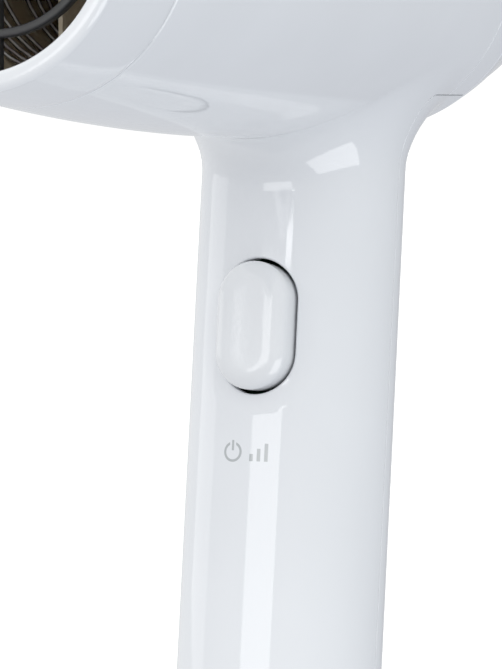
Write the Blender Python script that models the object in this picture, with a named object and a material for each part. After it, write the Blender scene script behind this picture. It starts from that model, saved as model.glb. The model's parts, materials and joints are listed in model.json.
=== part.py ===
"""A hair dryer: a long tapering barrel on a leaning handle, with its fan, heater and electronics.

Metres, +Z up. The outlet faces -Y, the air intake +Y. The handle's end face is at z = 0, and the
overall length is centred on y = 0.
"""

import math

import bmesh
import bpy
from mathutils import Matrix, Vector

# Clearances
GAP = 0.0003
FIT = 0.0003

# Body
WALL = 0.0022
BARREL_Z = 0.1609
BARREL_RADIUS = 0.0377
FRONT_TAPER = 0.0060
REAR_TAPER = 0.0011
BARREL_FRONT = 0.1105
BARREL_BACK = 0.0460
FILLET = 0.0100

# Handle: a soft oval section on a leaning axis
HANDLE_HALF_WIDTH = 0.01945
HANDLE_HALF_DEPTH = 0.02015
HANDLE_POWER = 2.2
HANDLE_LEAN = math.radians(7.27)
END_CAP_HEIGHT = 0.0045
COVER_SETBACK = 0.0018
COVER_RISE = 0.0083
COVER_CORNER = 0.0045

# Outlet
OUTLET_LENGTH = 0.0225
OUTLET_TAPER = 0.0021
OUTLET_RIM = 0.0034
OUTLET_ROUND = 0.0014
SPIGOT = 0.0050
GRILLE_RECESS = 0.0110
GRILLE_DEPTH = 0.0024
GRILLE_BAR = 0.0016
GRILLE_HUB = 0.0030
GRILLE_LEDGE = 0.0016

# Intake
REAR_RING_LENGTH = 0.0095
RING_LIP = 0.0042
RING_ROUND = 0.0006
BACK_SLOPE = 0.21
FILTER_CAP_LENGTH = 0.0165
FILTER_CAP_ROUND = 0.0030
CAP_STEP = 0.0004
CAP_FACE = 0.0020
CAP_RIM = 0.0102
CAP_WALL = 0.0032
INTAKE_DOME = 0.0020
FILTER_THICKNESS = 0.0008

# Button
BUTTON_DROP = 0.0388
OPENING_WIDTH = 0.0158
OPENING_HEIGHT = 0.0262
BUTTON_GAP = 0.0007
BUTTON_PROUD = 0.0043
BUTTON_TRAVEL = 0.0012
PLATEAU_WIDTH = 0.0094
PLATEAU_HEIGHT = 0.0200
SHOULDER_DROP = 0.0012
FLANGE_LIP = 0.0009
FLANGE_THICKNESS = 0.0009
STEM_RADIUS = 0.0028
STEM_LENGTH = 0.0022
SWITCH_SIDE = 0.0076
SWITCH_DEPTH = 0.0045
PLUNGER_RADIUS = 0.0017
PLUNGER_PROUD = 0.0020
PLUNGER_SEAT = 0.0012

# Fan and motor, as distances along y from the handle's foot
FAN_AT = 0.0290
FAN_DEPTH = 0.0100
FAN_BLADES = 9
FAN_TIP_GAP = 0.0010
FAN_HUB = 0.0110
FAN_TWIST = math.radians(20)
SHAFT_SHORT = 0.0010
DUCT_FROM = -0.0180
DUCT_TO = 0.0420
DUCT_WALL = 0.0016
VANES_AT = -0.0080
VANES_DEPTH = 0.0140
VANE_COUNT = 7
MOTOR_RADIUS = 0.0135
MOTOR_FROM = -0.0290
MOTOR_TO = 0.0085
MOTOR_WALL = 0.0010
MAGNET_THICKNESS = 0.0020
MAGNET_TURN = math.radians(70)
MAGNET_FROM = 0.0080
MAGNET_SHORT = 0.0030
LID_STEP = 0.0020
LID_PROUD = 0.0012
LID_DEPTH = 0.0030
ROTOR_FROM = 0.0090
ROTOR_SHORT = 0.0060
COMMUTATOR_RADIUS = 0.0034
COMMUTATOR_FROM = 0.0040
COMMUTATOR_LENGTH = 0.0046
SHAFT_FROM = 0.0006
SHAFT_RADIUS = 0.00115
SLEEVE_WALL = 0.0012
HUB_WALL = 0.0016

# Heater, as distances along y from the handle's foot
HEATER_INSET = 0.0145
HEATER_TO = -0.0360
HEATER_AIR_GAP = 0.0026
MICA_THICKNESS = 0.0008
COIL_WIRE = 0.00042
COIL_PITCH = 0.0044
COIL_MARGIN = 0.0050
COIL_STEPS = 16
COLLAR_BACK = 0.0060
COLLAR_WIDTH = 0.0040
THERMOSTAT_SIZE = (0.0110, 0.0080, 0.0040)
THERMOSTAT_AT = 0.0330
THERMOSTAT_BEVEL = 0.0004
FUSE_RADIUS = 0.0018
FUSE_LENGTH = 0.0090
FUSE_ROUND = 0.0004
FUSE_AT = 0.0290
SENSOR_ASIDE = 0.0100

# Electronics, in the handle's own axes
BOARD_THICKNESS = 0.0016
BOARD_WIDTH = 0.0240
BOARD_FROM = 0.0300
BOARD_DROP = 0.0212
BOARD_PARTS = 4
PART_GAP = 0.0016
RELAY_SIZE = (0.0150, 0.0115)
FILM_SIZE = (0.0170, 0.0105)
SINK_SIZE = (0.0160, 0.0090)
CAN_RADIUS = 0.0060
CAN_HEIGHT = 0.0100
CAN_ROUND = 0.0006
POST_RADIUS = 0.0032
POST_LIFT = 0.0200
POST_DROP = 0.0142
POST_SHORT = 0.0010
SCREW_RADIUS = 0.0014
SCREW_HEAD_RADIUS = 0.0027
SCREW_HEAD_HEIGHT = 0.0011
SCREW_HEAD_ROUND = 0.0004
SCREW_SEAT = 0.0014
SCREW_LENGTH = 0.0100
GLAND_RADIUS = 0.0058
GLAND_BORE = 0.0032
GLAND_RECESS = 0.0004
GLAND_LIP = 0.0018
GLAND_LIP_HEIGHT = 0.0020
END_CAP_ROUND = 0.0018
PLUG_HEIGHT = 0.0040

# Places that follow from the sizes above
REAR_LENGTH = 2 * GAP + REAR_RING_LENGTH + FILTER_CAP_LENGTH
HANDLE_Y = (BARREL_FRONT + GAP + OUTLET_LENGTH - BARREL_BACK - REAR_LENGTH) / 2
SEAM_Y = HANDLE_Y - BARREL_FRONT
REAR_Y = HANDLE_Y + BARREL_BACK
OUTLET_Y = SEAM_Y - GAP - OUTLET_LENGTH
CAP_Y = REAR_Y + 2 * GAP + REAR_RING_LENGTH
END_Y = CAP_Y + FILTER_CAP_LENGTH
FRONT_RADIUS = BARREL_RADIUS - FRONT_TAPER
REAR_RADIUS = BARREL_RADIUS - REAR_TAPER
OUTLET_RADIUS = FRONT_RADIUS - OUTLET_TAPER
OUTLET_THROAT = OUTLET_RADIUS - OUTLET_RIM
RING_BORE = REAR_RADIUS - RING_LIP
CAP_MOUTH = REAR_RADIUS - CAP_RIM
INTAKE_Y = END_Y - CAP_FACE - FIT - GRILLE_DEPTH
HUB_BORE = MOTOR_RADIUS + SLEEVE_WALL + 2 * FIT
HEATER_FROM = HEATER_INSET - BARREL_FRONT

# Places along the handle's own axes: up it from its end, and back from its middle
NECK = (BARREL_Z - BARREL_RADIUS) / math.cos(HANDLE_LEAN)
BUTTON_ALONG = NECK - BUTTON_DROP
BOARD_TO = NECK - BOARD_DROP
POST_HEIGHTS = (POST_LIFT, NECK - POST_DROP)
FRONT_FACE = -HANDLE_HALF_DEPTH
BUTTON_WIDTH = OPENING_WIDTH - 2 * BUTTON_GAP
BUTTON_HEIGHT = OPENING_HEIGHT - 2 * BUTTON_GAP
FLANGE_SHARE = (BUTTON_WIDTH / 2 + FLANGE_LIP) / (HANDLE_HALF_WIDTH - WALL)
FLANGE_FRONT = (FRONT_FACE + WALL) * (1 - FLANGE_SHARE**HANDLE_POWER) ** (1 / HANDLE_POWER) + 2 * FIT
BUTTON_BACK = FLANGE_FRONT + FLANGE_THICKNESS
PLUNGER_FRONT = BUTTON_BACK + STEM_LENGTH
SWITCH_FRONT = PLUNGER_FRONT + PLUNGER_PROUD
BOARD_FRONT = SWITCH_FRONT + SWITCH_DEPTH + GAP
BOARD_BACK = BOARD_FRONT + BOARD_THICKNESS
LEAN = Matrix.Translation((0, HANDLE_Y, 0)) @ Matrix.Rotation(-HANDLE_LEAN, 4, "X")

WHITE = ("gloss_white", (0.83, 0.84, 0.86), 0.16, 0.0)
BUTTON_WHITE = ("button_white", (0.80, 0.81, 0.83), 0.22, 0.0)
GREY = ("mid_grey", (0.30, 0.31, 0.32), 0.45, 0.0)
DARK = ("dark_plastic", (0.035, 0.036, 0.038), 0.50, 0.0)
RUBBER = ("rubber", (0.02, 0.02, 0.02), 0.80, 0.0)
MICA = ("mica", (0.62, 0.52, 0.38), 0.55, 0.0)
STEEL = ("steel", (0.55, 0.55, 0.56), 0.30, 1.0)
COPPER = ("copper", (0.72, 0.38, 0.20), 0.35, 1.0)
BOARD_GREEN = ("board_green", (0.03, 0.16, 0.07), 0.45, 0.0)
MESH_GREY = ("mesh_grey", (0.16, 0.16, 0.17), 0.55, 0.6)


def clear_scene():
    for obj in list(bpy.data.objects):
        bpy.data.objects.remove(obj, do_unlink=True)


def material(look):
    name, colour, roughness, metallic = look
    found = bpy.data.materials.get(name)
    if found:
        return found
    made = bpy.data.materials.new(name)
    made.use_nodes = True
    shader = made.node_tree.nodes["Principled BSDF"]
    shader.inputs["Base Color"].default_value = (*colour, 1)
    shader.inputs["Roughness"].default_value = roughness
    shader.inputs["Metallic"].default_value = metallic
    return made


def finish(name, bm, look, place=None):
    """An object of this name from a bmesh, smooth but for its sharp edges, placed by a matrix."""
    bmesh.ops.recalc_face_normals(bm, faces=bm.faces)
    mesh = bpy.data.meshes.new(name)
    bm.to_mesh(mesh)
    bm.free()
    mesh.shade_smooth()
    mesh.set_sharp_from_angle(angle=math.radians(35))
    mesh.materials.append(material(look))
    obj = bpy.data.objects.new(name, mesh)
    bpy.context.scene.collection.objects.link(obj)
    if place:
        obj.matrix_world = place
    return obj


def cutter(name, bm, place=None):
    obj = finish(name, bm, GREY, place)
    obj.hide_render = True
    obj.display_type = "WIRE"
    return obj


def combine(obj, other, operation):
    """Keeps a Boolean of this kind on the object."""
    made = obj.modifiers.new(other.name, "BOOLEAN")
    made.operation = operation
    made.solver = "EXACT"
    made.object = other
    return obj


def loft(rings, closed=False):
    """A solid through rings of equal count, with flat ends, or joined end to end when closed."""
    bm = bmesh.new()
    loops = [[bm.verts.new(point) for point in ring] for ring in rings]
    pairs = list(zip(loops, loops[1:]))
    if closed:
        pairs.append((loops[-1], loops[0]))
    for first, second in pairs:
        for i in range(len(first)):
            j = (i + 1) % len(first)
            bm.faces.new((first[i], first[j], second[j], second[i]))
    if not closed:
        bm.faces.new(loops[0])
        bm.faces.new(loops[-1])
    return bm


def ring(radius, y, segments):
    turns = [2 * math.pi * i / segments for i in range(segments)]
    return [(radius * math.sin(turn), y, -radius * math.cos(turn)) for turn in turns]


def tube(profile, segments=36):
    """A ring-shaped solid about the y axis, from a closed profile of (radius, y)."""
    return loft([ring(radius, y, segments) for radius, y in profile], closed=True)


def rod(profile, segments=24):
    """A solid rod about the y axis, through (radius, y)."""
    return loft([ring(radius, y, segments) for radius, y in profile])


def box(size, centre, bevel=0.0):
    bm = bmesh.new()
    bmesh.ops.create_cube(bm, size=1)
    bmesh.ops.scale(bm, vec=size, verts=bm.verts)
    bmesh.ops.translate(bm, vec=centre, verts=bm.verts)
    if bevel:
        bmesh.ops.bevel(bm, geom=bm.edges, offset=bevel, segments=2, profile=0.5, affect="EDGES")
    return bm


def stadium(width, height, depth, corner_steps=8):
    """An upright stadium outline in the x-z plane at y = depth, whose round ends are half circles."""
    radius = width / 2
    lift = height / 2 - radius
    points = []
    for side, start in ((1, 0), (-1, math.pi)):
        for i in range(corner_steps + 1):
            turn = start + math.pi * i / corner_steps
            points.append((radius * math.cos(turn), depth, side * lift + radius * math.sin(turn)))
    return points


def spoked(radii, bars, spokes, spoke_share, depth, dome=0.0, twist=0.0):
    """A grille about the y axis: round bars between these radii, and spokes across the gaps.

    radii rises, bars says which of the rings between them is solid, and spoke_share is the part
    of each turn that a spoke fills. The back face is turned by twist, and the part inside the rim
    bulges to +y by dome.
    """
    open_steps = max(2, round(20 / spokes))
    shares = [0] + [spoke_share / 2 + (1 - spoke_share) * i / open_steps for i in range(open_steps + 1)]
    across = len(shares)
    columns = across * spokes
    bm = bmesh.new()

    def corner(layer, i, column):
        share = column // across + shares[column % across]
        turn = 2 * math.pi * share / spokes + layer * twist
        radius = radii[i]
        bulge = dome * max(0, 1 - (radius / radii[-2]) ** 2)
        return bm.verts.new((radius * math.sin(turn), layer * depth + bulge, -radius * math.cos(turn)))

    def solid(i, column):
        return 0 <= i < len(bars) and (bars[i] or column % across in (0, across - 1))

    layers = [
        [[corner(layer, i, column) for column in range(columns)] for i in range(len(radii))]
        for layer in (0, 1)
    ]
    for i in range(len(bars)):
        for column in range(columns):
            if not solid(i, column):
                continue
            after = (column + 1) % columns
            quad = ((i, column), (i, after), (i + 1, after), (i + 1, column))
            for layer in layers:
                bm.faces.new([layer[a][b] for a, b in quad])
            beyond = (solid(i - 1, column), solid(i, after), solid(i + 1, column),
                      solid(i, (column - 1) % columns))
            for side in range(4):
                if not beyond[side]:
                    (a, b), (c, d) = quad[side], quad[(side + 1) % 4]
                    bm.faces.new((layers[0][a][b], layers[0][c][d], layers[1][c][d], layers[1][a][b]))
    bmesh.ops.delete(bm, geom=[v for v in bm.verts if not v.link_faces], context="VERTS")
    return bm


def at_barrel(y):
    """Places a piece on the barrel's axis, this far along y from the handle's foot."""
    return Matrix.Translation((0, HANDLE_Y + y, BARREL_Z))


def barrel_radius(y):
    """The barrel's outer radius at y: widest over the handle's foot, tapering to both ends."""
    along = y - HANDLE_Y
    end, reach = (FRONT_RADIUS, BARREL_FRONT) if along < 0 else (REAR_RADIUS, BARREL_BACK)
    return BARREL_RADIUS - (BARREL_RADIUS - end) * (along / reach) ** 2


def back_radius(y):
    """Behind the barrel the band and the cap go on narrowing in one straight slope."""
    return REAR_RADIUS - BACK_SLOPE * (y - REAR_Y)


def handle_reach(turn, inset=0.0):
    """From the handle's axis to its wall, at this turn from the front."""
    wide = abs(math.sin(turn)) / (HANDLE_HALF_WIDTH - inset)
    deep = abs(math.cos(turn)) / (HANDLE_HALF_DEPTH - inset)
    return (wide**HANDLE_POWER + deep**HANDLE_POWER) ** (-1 / HANDLE_POWER)


def handle_ring(z, segments, inset=0.0, start=0.0):
    """A level ring round the handle at this height."""
    points = []
    for i in range(segments):
        turn = start + 2 * math.pi * i / segments
        reach = handle_reach(turn, inset)
        y = HANDLE_Y + z * math.tan(HANDLE_LEAN) - reach * math.cos(turn) / math.cos(HANDLE_LEAN)
        points.append((reach * math.sin(turn), y, z))
    return points


def outside(point):
    """How far a point lies outside the body's skin: barrel and handle, joined by a round fillet."""
    x, y, z = point
    barrel = math.hypot(x, z - BARREL_Z) - barrel_radius(y)
    if z > BARREL_Z:
        return barrel
    across = (y - HANDLE_Y) * math.cos(HANDLE_LEAN) - z * math.sin(HANDLE_LEAN)
    handle = math.hypot(x, across) - handle_reach(math.atan2(x, -across))
    rounding = math.hypot(max(FILLET - barrel, 0), max(FILLET - handle, 0))
    return max(FILLET, min(barrel, handle)) - rounding


def onto_skin(vert, flat_axis):
    """Moves a vertex to the skin, and keeps it in its end plane where it has one."""
    step = 1e-5
    for _ in range(12):
        here = outside(vert.co)
        slope = Vector([0, 0, 0])
        for axis in range(3):
            if axis != flat_axis:
                beside = vert.co.copy()
                beside[axis] += step
                slope[axis] = (outside(beside) - here) / step
        vert.co -= slope * (here / max(slope.length_squared, 0.04))


def body_cage():
    """The barrel and handle as a coarse tube with a branch, open at its three ends."""
    bm = bmesh.new()
    around = 16
    neck_z = BARREL_Z - BARREL_RADIUS
    neck_y = HANDLE_Y + neck_z * math.tan(HANDLE_LEAN)
    from_y = neck_y - HANDLE_HALF_DEPTH - FILLET
    to_y = min(neck_y + HANDLE_HALF_DEPTH + FILLET, REAR_Y - FILLET / 5)
    rows = [SEAM_Y + (from_y - SEAM_Y) * i / 4 for i in range(4)]
    branch = len(rows)
    rows += [from_y + (to_y - from_y) * i / 4 for i in range(5)] + [REAR_Y]
    barrel = [[bm.verts.new(point) for point in ring(barrel_radius(y), y, around)] for y in rows]
    bmesh.ops.translate(bm, vec=(0, 0, BARREL_Z), verts=bm.verts)
    for i in range(len(rows) - 1):
        for j in range(around):
            if branch <= i < branch + 4 and (j < 2 or j >= around - 2):
                continue
            k = (j + 1) % around
            bm.faces.new((barrel[i][j], barrel[i][k], barrel[i + 1][k], barrel[i + 1][j]))
    mouth = [barrel[branch][j] for j in (-2, -1, 0, 1, 2)]
    mouth += [barrel[branch + i][2] for i in (1, 2, 3, 4)]
    mouth += [barrel[branch + 4][j] for j in (1, 0, -1, -2)]
    mouth += [barrel[branch + i][-2] for i in (3, 2, 1)]
    heights = [neck_z - FILLET * share for share in (0.25, 1.2)]
    heights += [END_CAP_HEIGHT + GAP + (heights[-1] - END_CAP_HEIGHT) * share for share in (0.7, 0.35, 0)]
    for z in heights:
        flare = -FILLET / 2 if z == heights[0] else 0
        below = [bm.verts.new(p) for p in handle_ring(z, around, flare, -math.pi / 4)]
        for i in range(around):
            k = (i + 1) % around
            bm.faces.new((mouth[i], mouth[k], below[k], below[i]))
        mouth = below
    return bm


def body_form(name, cuts):
    """The body's outer form as one closed solid, its skin exact at every vertex."""
    bm = body_cage()
    bmesh.ops.subdivide_edges(bm, edges=bm.edges, cuts=cuts, use_grid_fill=True)
    ends = {1: (SEAM_Y, REAR_Y), 2: (END_CAP_HEIGHT + GAP,)}
    for vert in bm.verts:
        flat = [axis for axis, places in ends.items() for at in places
                if vert.is_boundary and abs(vert.co[axis] - at) < 1e-6]
        onto_skin(vert, flat[0] if flat else None)
    bmesh.ops.holes_fill(bm, edges=[e for e in bm.edges if e.is_boundary], sides=0)
    return cutter(name, bm)


def barrel_bore():
    steps = 6
    between = [SEAM_Y + (REAR_Y - SEAM_Y) * i / steps for i in range(steps + 1)]
    ys = [SEAM_Y - WALL] + between + [REAR_Y + WALL]
    inside = [(barrel_radius(min(max(y, SEAM_Y), REAR_Y)) - WALL, y) for y in ys]
    return cutter("barrel_bore", rod(inside, 36), Matrix.Translation((0, 0, BARREL_Z)))


def handle_bore():
    top = BARREL_Z - BARREL_RADIUS + 2 * WALL
    rings = [handle_ring(z, 32, WALL) for z in (0, top)]
    return cutter("handle_bore", loft(rings))


def cover_region(name, grow):
    """The region behind the parting line, grown by this much: it rises behind the handle's
    widest line, rounds a corner above the barrel's underside and runs out to the back."""
    split_z = BARREL_Z - BARREL_RADIUS + COVER_RISE + grow
    slope = math.tan(HANDLE_LEAN)

    def line_y(z):
        return HANDLE_Y + z * slope + (COVER_SETBACK - grow) / math.cos(HANDLE_LEAN)

    corner = COVER_CORNER + grow
    outline = [(line_y(-WALL), -WALL)]
    for i in range(7):
        turn = math.pi / 2 * i / 6
        z = split_z - corner * (1 - math.sin(turn))
        outline.append((line_y(split_z - corner) + corner * (1 - math.cos(turn)), z))
    outline += [(REAR_Y + WALL, split_z), (REAR_Y + WALL, -WALL)]
    side = BARREL_RADIUS + WALL
    return cutter(name, loft([[(x, y, z) for y, z in outline] for x in (-side, side)]))


def screw_posts(obj, hole_name):
    """Adds the two posts that the rear cover's screws go into, each with its pilot hole."""
    back = HANDLE_HALF_DEPTH - WALL - POST_SHORT
    for i, height in enumerate(POST_HEIGHTS):
        place = LEAN @ Matrix.Translation((0, 0, height))
        outline = [(POST_RADIUS, FRONT_FACE + WALL / 2), (POST_RADIUS, back)]
        post = cutter(f"post_{i}", rod(outline, 20), place)
        combine(obj, post, "UNION")
        pilot = rod([(SCREW_RADIUS + FIT, back - SCREW_LENGTH), (SCREW_RADIUS + FIT, back + WALL)], 16)
        combine(obj, cutter(f"{hole_name}_{i}", pilot, place), "DIFFERENCE")


def front_housing(form, barrel, handle):
    obj = finish("front_housing", bmesh.new(), WHITE)
    combine(obj, form, "UNION")
    combine(obj, barrel, "DIFFERENCE")
    combine(obj, handle, "DIFFERENCE")
    combine(obj, cover_region("cover_region_grown", GAP), "DIFFERENCE")
    screw_posts(obj, "pilot")
    depths = (FRONT_FACE - WALL, FRONT_FACE + 3 * WALL)
    outline = [stadium(OPENING_WIDTH, OPENING_HEIGHT, y) for y in depths]
    place = LEAN @ Matrix.Translation((0, 0, BUTTON_ALONG))
    combine(obj, cutter("button_opening", loft(outline), place), "DIFFERENCE")


def handle_rear_cover(form, barrel, handle):
    obj = finish("handle_rear_cover", bmesh.new(), WHITE)
    combine(obj, form, "UNION")
    combine(obj, barrel, "DIFFERENCE")
    combine(obj, handle, "DIFFERENCE")
    combine(obj, cover_region("cover_region_true", 0), "INTERSECT")
    back = HANDLE_HALF_DEPTH
    for i, height in enumerate(POST_HEIGHTS):
        seat = back - SCREW_SEAT
        hole = rod([(SCREW_RADIUS + FIT, back - 2 * WALL), (SCREW_RADIUS + FIT, seat),
                    (SCREW_HEAD_RADIUS + FIT, seat), (SCREW_HEAD_RADIUS + FIT, back + 4 * WALL)], 20)
        place = LEAN @ Matrix.Translation((0, 0, height))
        combine(obj, cutter(f"screw_hole_{i}", hole, place), "DIFFERENCE")


def cover_screws():
    head = HANDLE_HALF_DEPTH - SCREW_SEAT + GAP
    top = head + SCREW_HEAD_HEIGHT
    for name, height in zip(("cover_screw_lower", "cover_screw_upper"), POST_HEIGHTS):
        profile = [(SCREW_RADIUS, head - SCREW_LENGTH), (SCREW_RADIUS, head), (SCREW_HEAD_RADIUS, head),
                   (SCREW_HEAD_RADIUS, top - SCREW_HEAD_ROUND), (SCREW_HEAD_RADIUS - SCREW_HEAD_ROUND, top)]
        finish(name, rod(profile, 20), STEEL, LEAN @ Matrix.Translation((0, 0, height)))


def outlet_ring():
    """The ring that ends the barrel at the front: a rounded nose, a flat face and a straight throat."""
    front = OUTLET_Y + OUTLET_ROUND
    seat = OUTLET_Y + GRILLE_RECESS
    outer = [(OUTLET_RADIUS + (FRONT_RADIUS - OUTLET_RADIUS) * share**0.6,
              front + (SEAM_Y - GAP - front) * share) for share in (0, 0.3, 0.65, 1)]
    nose = [(OUTLET_RADIUS - OUTLET_ROUND * (1 - math.sin(turn)), front - OUTLET_ROUND * math.cos(turn))
            for turn in (0, math.pi / 6, math.pi / 3)]
    reach = FRONT_RADIUS - WALL - FIT
    bore = OUTLET_THROAT + GRILLE_LEDGE
    spigot = [(reach, SEAM_Y - GAP), (reach, SEAM_Y + SPIGOT), (bore, SEAM_Y + SPIGOT)]
    throat = [(bore, seat), (OUTLET_THROAT, seat), (OUTLET_THROAT, OUTLET_Y)]
    place = Matrix.Translation((0, 0, BARREL_Z))
    finish("outlet_ring", tube(nose + outer + spigot + throat), WHITE, place)


def grille_rings(rim, seat, count):
    """The edges of the round bars from the hub to the rim, and which rings between them are solid."""
    radii = []
    for i in range(count):
        start = GRILLE_HUB + (rim - GRILLE_HUB) * i / count
        radii += [start, start + GRILLE_BAR]
    return radii + [rim, seat], [i % 2 == 0 for i in range(2 * count + 1)]


def outlet_grille():
    radii, bars = grille_rings(OUTLET_THROAT - FIT, OUTLET_THROAT + GRILLE_LEDGE - FIT, 3)
    bm = spoked(radii, bars, 6, 0.10, GRILLE_DEPTH)
    finish("outlet_grille", bm, DARK, Matrix.Translation((0, OUTLET_Y + GRILLE_RECESS + GAP, BARREL_Z)))


def rear_ring():
    """The band behind the barrel, held by a spigot in it; the filter cap's spigot goes into its bore."""
    front = REAR_Y + GAP
    back = front + REAR_RING_LENGTH
    spigot = REAR_RADIUS - WALL - FIT
    profile = [(back_radius(front) - RING_ROUND, front), (back_radius(front + RING_ROUND), front + RING_ROUND),
               (back_radius(back - RING_ROUND), back - RING_ROUND), (back_radius(back) - RING_ROUND, back),
               (RING_BORE, back),
               (RING_BORE, front - SPIGOT), (spigot, front - SPIGOT), (spigot, front)]
    finish("rear_ring", tube(profile), WHITE, Matrix.Translation((0, 0, BARREL_Z)))


def filter_cap():
    """The pull-off cap: its spigot, its sloped wall with a rounded end, and the seat of its grille."""
    spigot = RING_BORE - FIT
    inner = spigot - CAP_WALL
    seat = END_Y - CAP_FACE
    corner_y = END_Y - FILTER_CAP_ROUND
    corner_radius = back_radius(corner_y) - CAP_STEP - FILTER_CAP_ROUND
    profile = [(spigot, CAP_Y - SPIGOT), (spigot, CAP_Y), (back_radius(CAP_Y) - CAP_STEP, CAP_Y)]
    for turn in (0, math.pi / 6, math.pi / 3, math.pi / 2):
        profile.append((corner_radius + FILTER_CAP_ROUND * math.cos(turn),
                        corner_y + FILTER_CAP_ROUND * math.sin(turn)))
    profile += [(CAP_MOUTH, END_Y), (CAP_MOUTH, seat), (inner, seat), (inner, CAP_Y - SPIGOT)]
    finish("filter_cap", tube(profile), WHITE, Matrix.Translation((0, 0, BARREL_Z)))


def intake_grille():
    radii, bars = grille_rings(CAP_MOUTH - FIT, RING_BORE - CAP_WALL - 2 * FIT, 4)
    bm = spoked(radii, bars, 6, 0.08, GRILLE_DEPTH, INTAKE_DOME)
    place = Matrix.Translation((0, INTAKE_Y, BARREL_Z))
    finish("intake_grille", bm, GREY, place)


def filter_mesh():
    place = Matrix.Translation((0, INTAKE_Y - GAP - FILTER_THICKNESS, BARREL_Z))
    reach = RING_BORE - CAP_WALL - 2 * FIT
    profile = [(reach, 0), (reach, FILTER_THICKNESS)]
    finish("filter_mesh", rod(profile, 32), MESH_GREY, place)


def power_button():
    """A domed stadium whose skirt runs in the opening, with a flange behind the wall."""
    lip = 2 * FLANGE_LIP
    levels = [(BUTTON_WIDTH + lip, BUTTON_HEIGHT + lip, BUTTON_BACK),
              (BUTTON_WIDTH + lip, BUTTON_HEIGHT + lip, FLANGE_FRONT),
              (BUTTON_WIDTH, BUTTON_HEIGHT, FLANGE_FRONT)]
    for share in (0, 0.5, 0.8, 0.95, 1):
        fall = 1 - math.sqrt(1 - share**2)
        levels.append((BUTTON_WIDTH + (PLATEAU_WIDTH - BUTTON_WIDTH) * fall,
                       BUTTON_HEIGHT + (PLATEAU_HEIGHT - BUTTON_HEIGHT) * fall,
                       FRONT_FACE + SHOULDER_DROP - (BUTTON_PROUD + SHOULDER_DROP) * share))
    rings = [stadium(*level) for level in levels]
    finish("power_button", loft(rings), BUTTON_WHITE, LEAN @ Matrix.Translation((0, 0, BUTTON_ALONG)))


def button_stem():
    place = LEAN @ Matrix.Translation((0, 0, BUTTON_ALONG))
    profile = [(STEM_RADIUS, BUTTON_BACK + GAP), (STEM_RADIUS, PLUNGER_FRONT - GAP)]
    finish("button_stem", rod(profile, 20), GREY, place)


def tact_switch():
    block = box((SWITCH_SIDE, SWITCH_DEPTH, SWITCH_SIDE), (0, SWITCH_FRONT + SWITCH_DEPTH / 2, 0))
    obj = finish("tact_switch", block, DARK, LEAN @ Matrix.Translation((0, 0, BUTTON_ALONG)))
    pocket = rod([(PLUNGER_RADIUS + FIT, SWITCH_FRONT - WALL),
                  (PLUNGER_RADIUS + FIT, SWITCH_FRONT + PLUNGER_SEAT + BUTTON_TRAVEL + GAP)], 20)
    combine(obj, cutter("plunger_pocket", pocket, obj.matrix_world), "DIFFERENCE")


def switch_plunger():
    place = LEAN @ Matrix.Translation((0, 0, BUTTON_ALONG))
    profile = [(PLUNGER_RADIUS, PLUNGER_FRONT), (PLUNGER_RADIUS, SWITCH_FRONT + PLUNGER_SEAT)]
    finish("switch_plunger", rod(profile, 16), GREY, place)


def circuit_board():
    length = BOARD_TO - BOARD_FROM
    centre = (0, BOARD_FRONT + BOARD_THICKNESS / 2, (BOARD_FROM + BOARD_TO) / 2)
    finish("circuit_board", box((BOARD_WIDTH, BOARD_THICKNESS, length), centre), BOARD_GREEN, LEAN)


def board_parts():
    """Four parts on the back of the board, one to each of its equal lengths."""
    pitch = (BOARD_TO - BOARD_FROM) / BOARD_PARTS
    seat = BOARD_BACK + GAP
    for i, (name, (width, depth), look, bevel) in enumerate((
        ("relay", RELAY_SIZE, DARK, 0.0006),
        ("film_capacitor", FILM_SIZE, GREY, 0.0010),
        ("heat_sink", SINK_SIZE, STEEL, 0.0004),
    )):
        centre = (0, seat + depth / 2, BOARD_FROM + pitch * (i + 0.5))
        finish(name, box((width, depth, pitch - PART_GAP), centre, bevel), look, LEAN)
    radius = min(CAN_RADIUS, (pitch - PART_GAP) / 2)
    can = rod([(radius - CAN_ROUND, 0), (radius, CAN_ROUND), (radius, CAN_HEIGHT - CAN_ROUND),
               (radius - CAN_ROUND, CAN_HEIGHT)], 20)
    place = LEAN @ Matrix.Translation((0, seat, BOARD_TO - pitch / 2))
    finish("electrolytic_capacitor", can, DARK, place)


def fan_duct():
    """A tube round the fan, with straight guide vanes that carry the motor's hub."""
    bore = barrel_radius(HANDLE_Y + DUCT_FROM) - WALL
    outer = min(bore, RING_BORE) - 2 * FIT
    inner = outer - DUCT_WALL
    steps = [(outer, DUCT_FROM), (outer, DUCT_TO), (inner, DUCT_TO), (inner, DUCT_FROM)]
    obj = finish("fan_duct", tube(steps, 36), DARK, at_barrel(0))
    hub = HUB_BORE + HUB_WALL
    vanes = spoked((HUB_BORE, hub, outer - 2 * DUCT_WALL / 3, outer - DUCT_WALL / 3), (True, False, True),
                   VANE_COUNT, 0.06, VANES_DEPTH)
    combine(obj, cutter("guide_vanes", vanes, at_barrel(VANES_AT)), "UNION")


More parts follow.
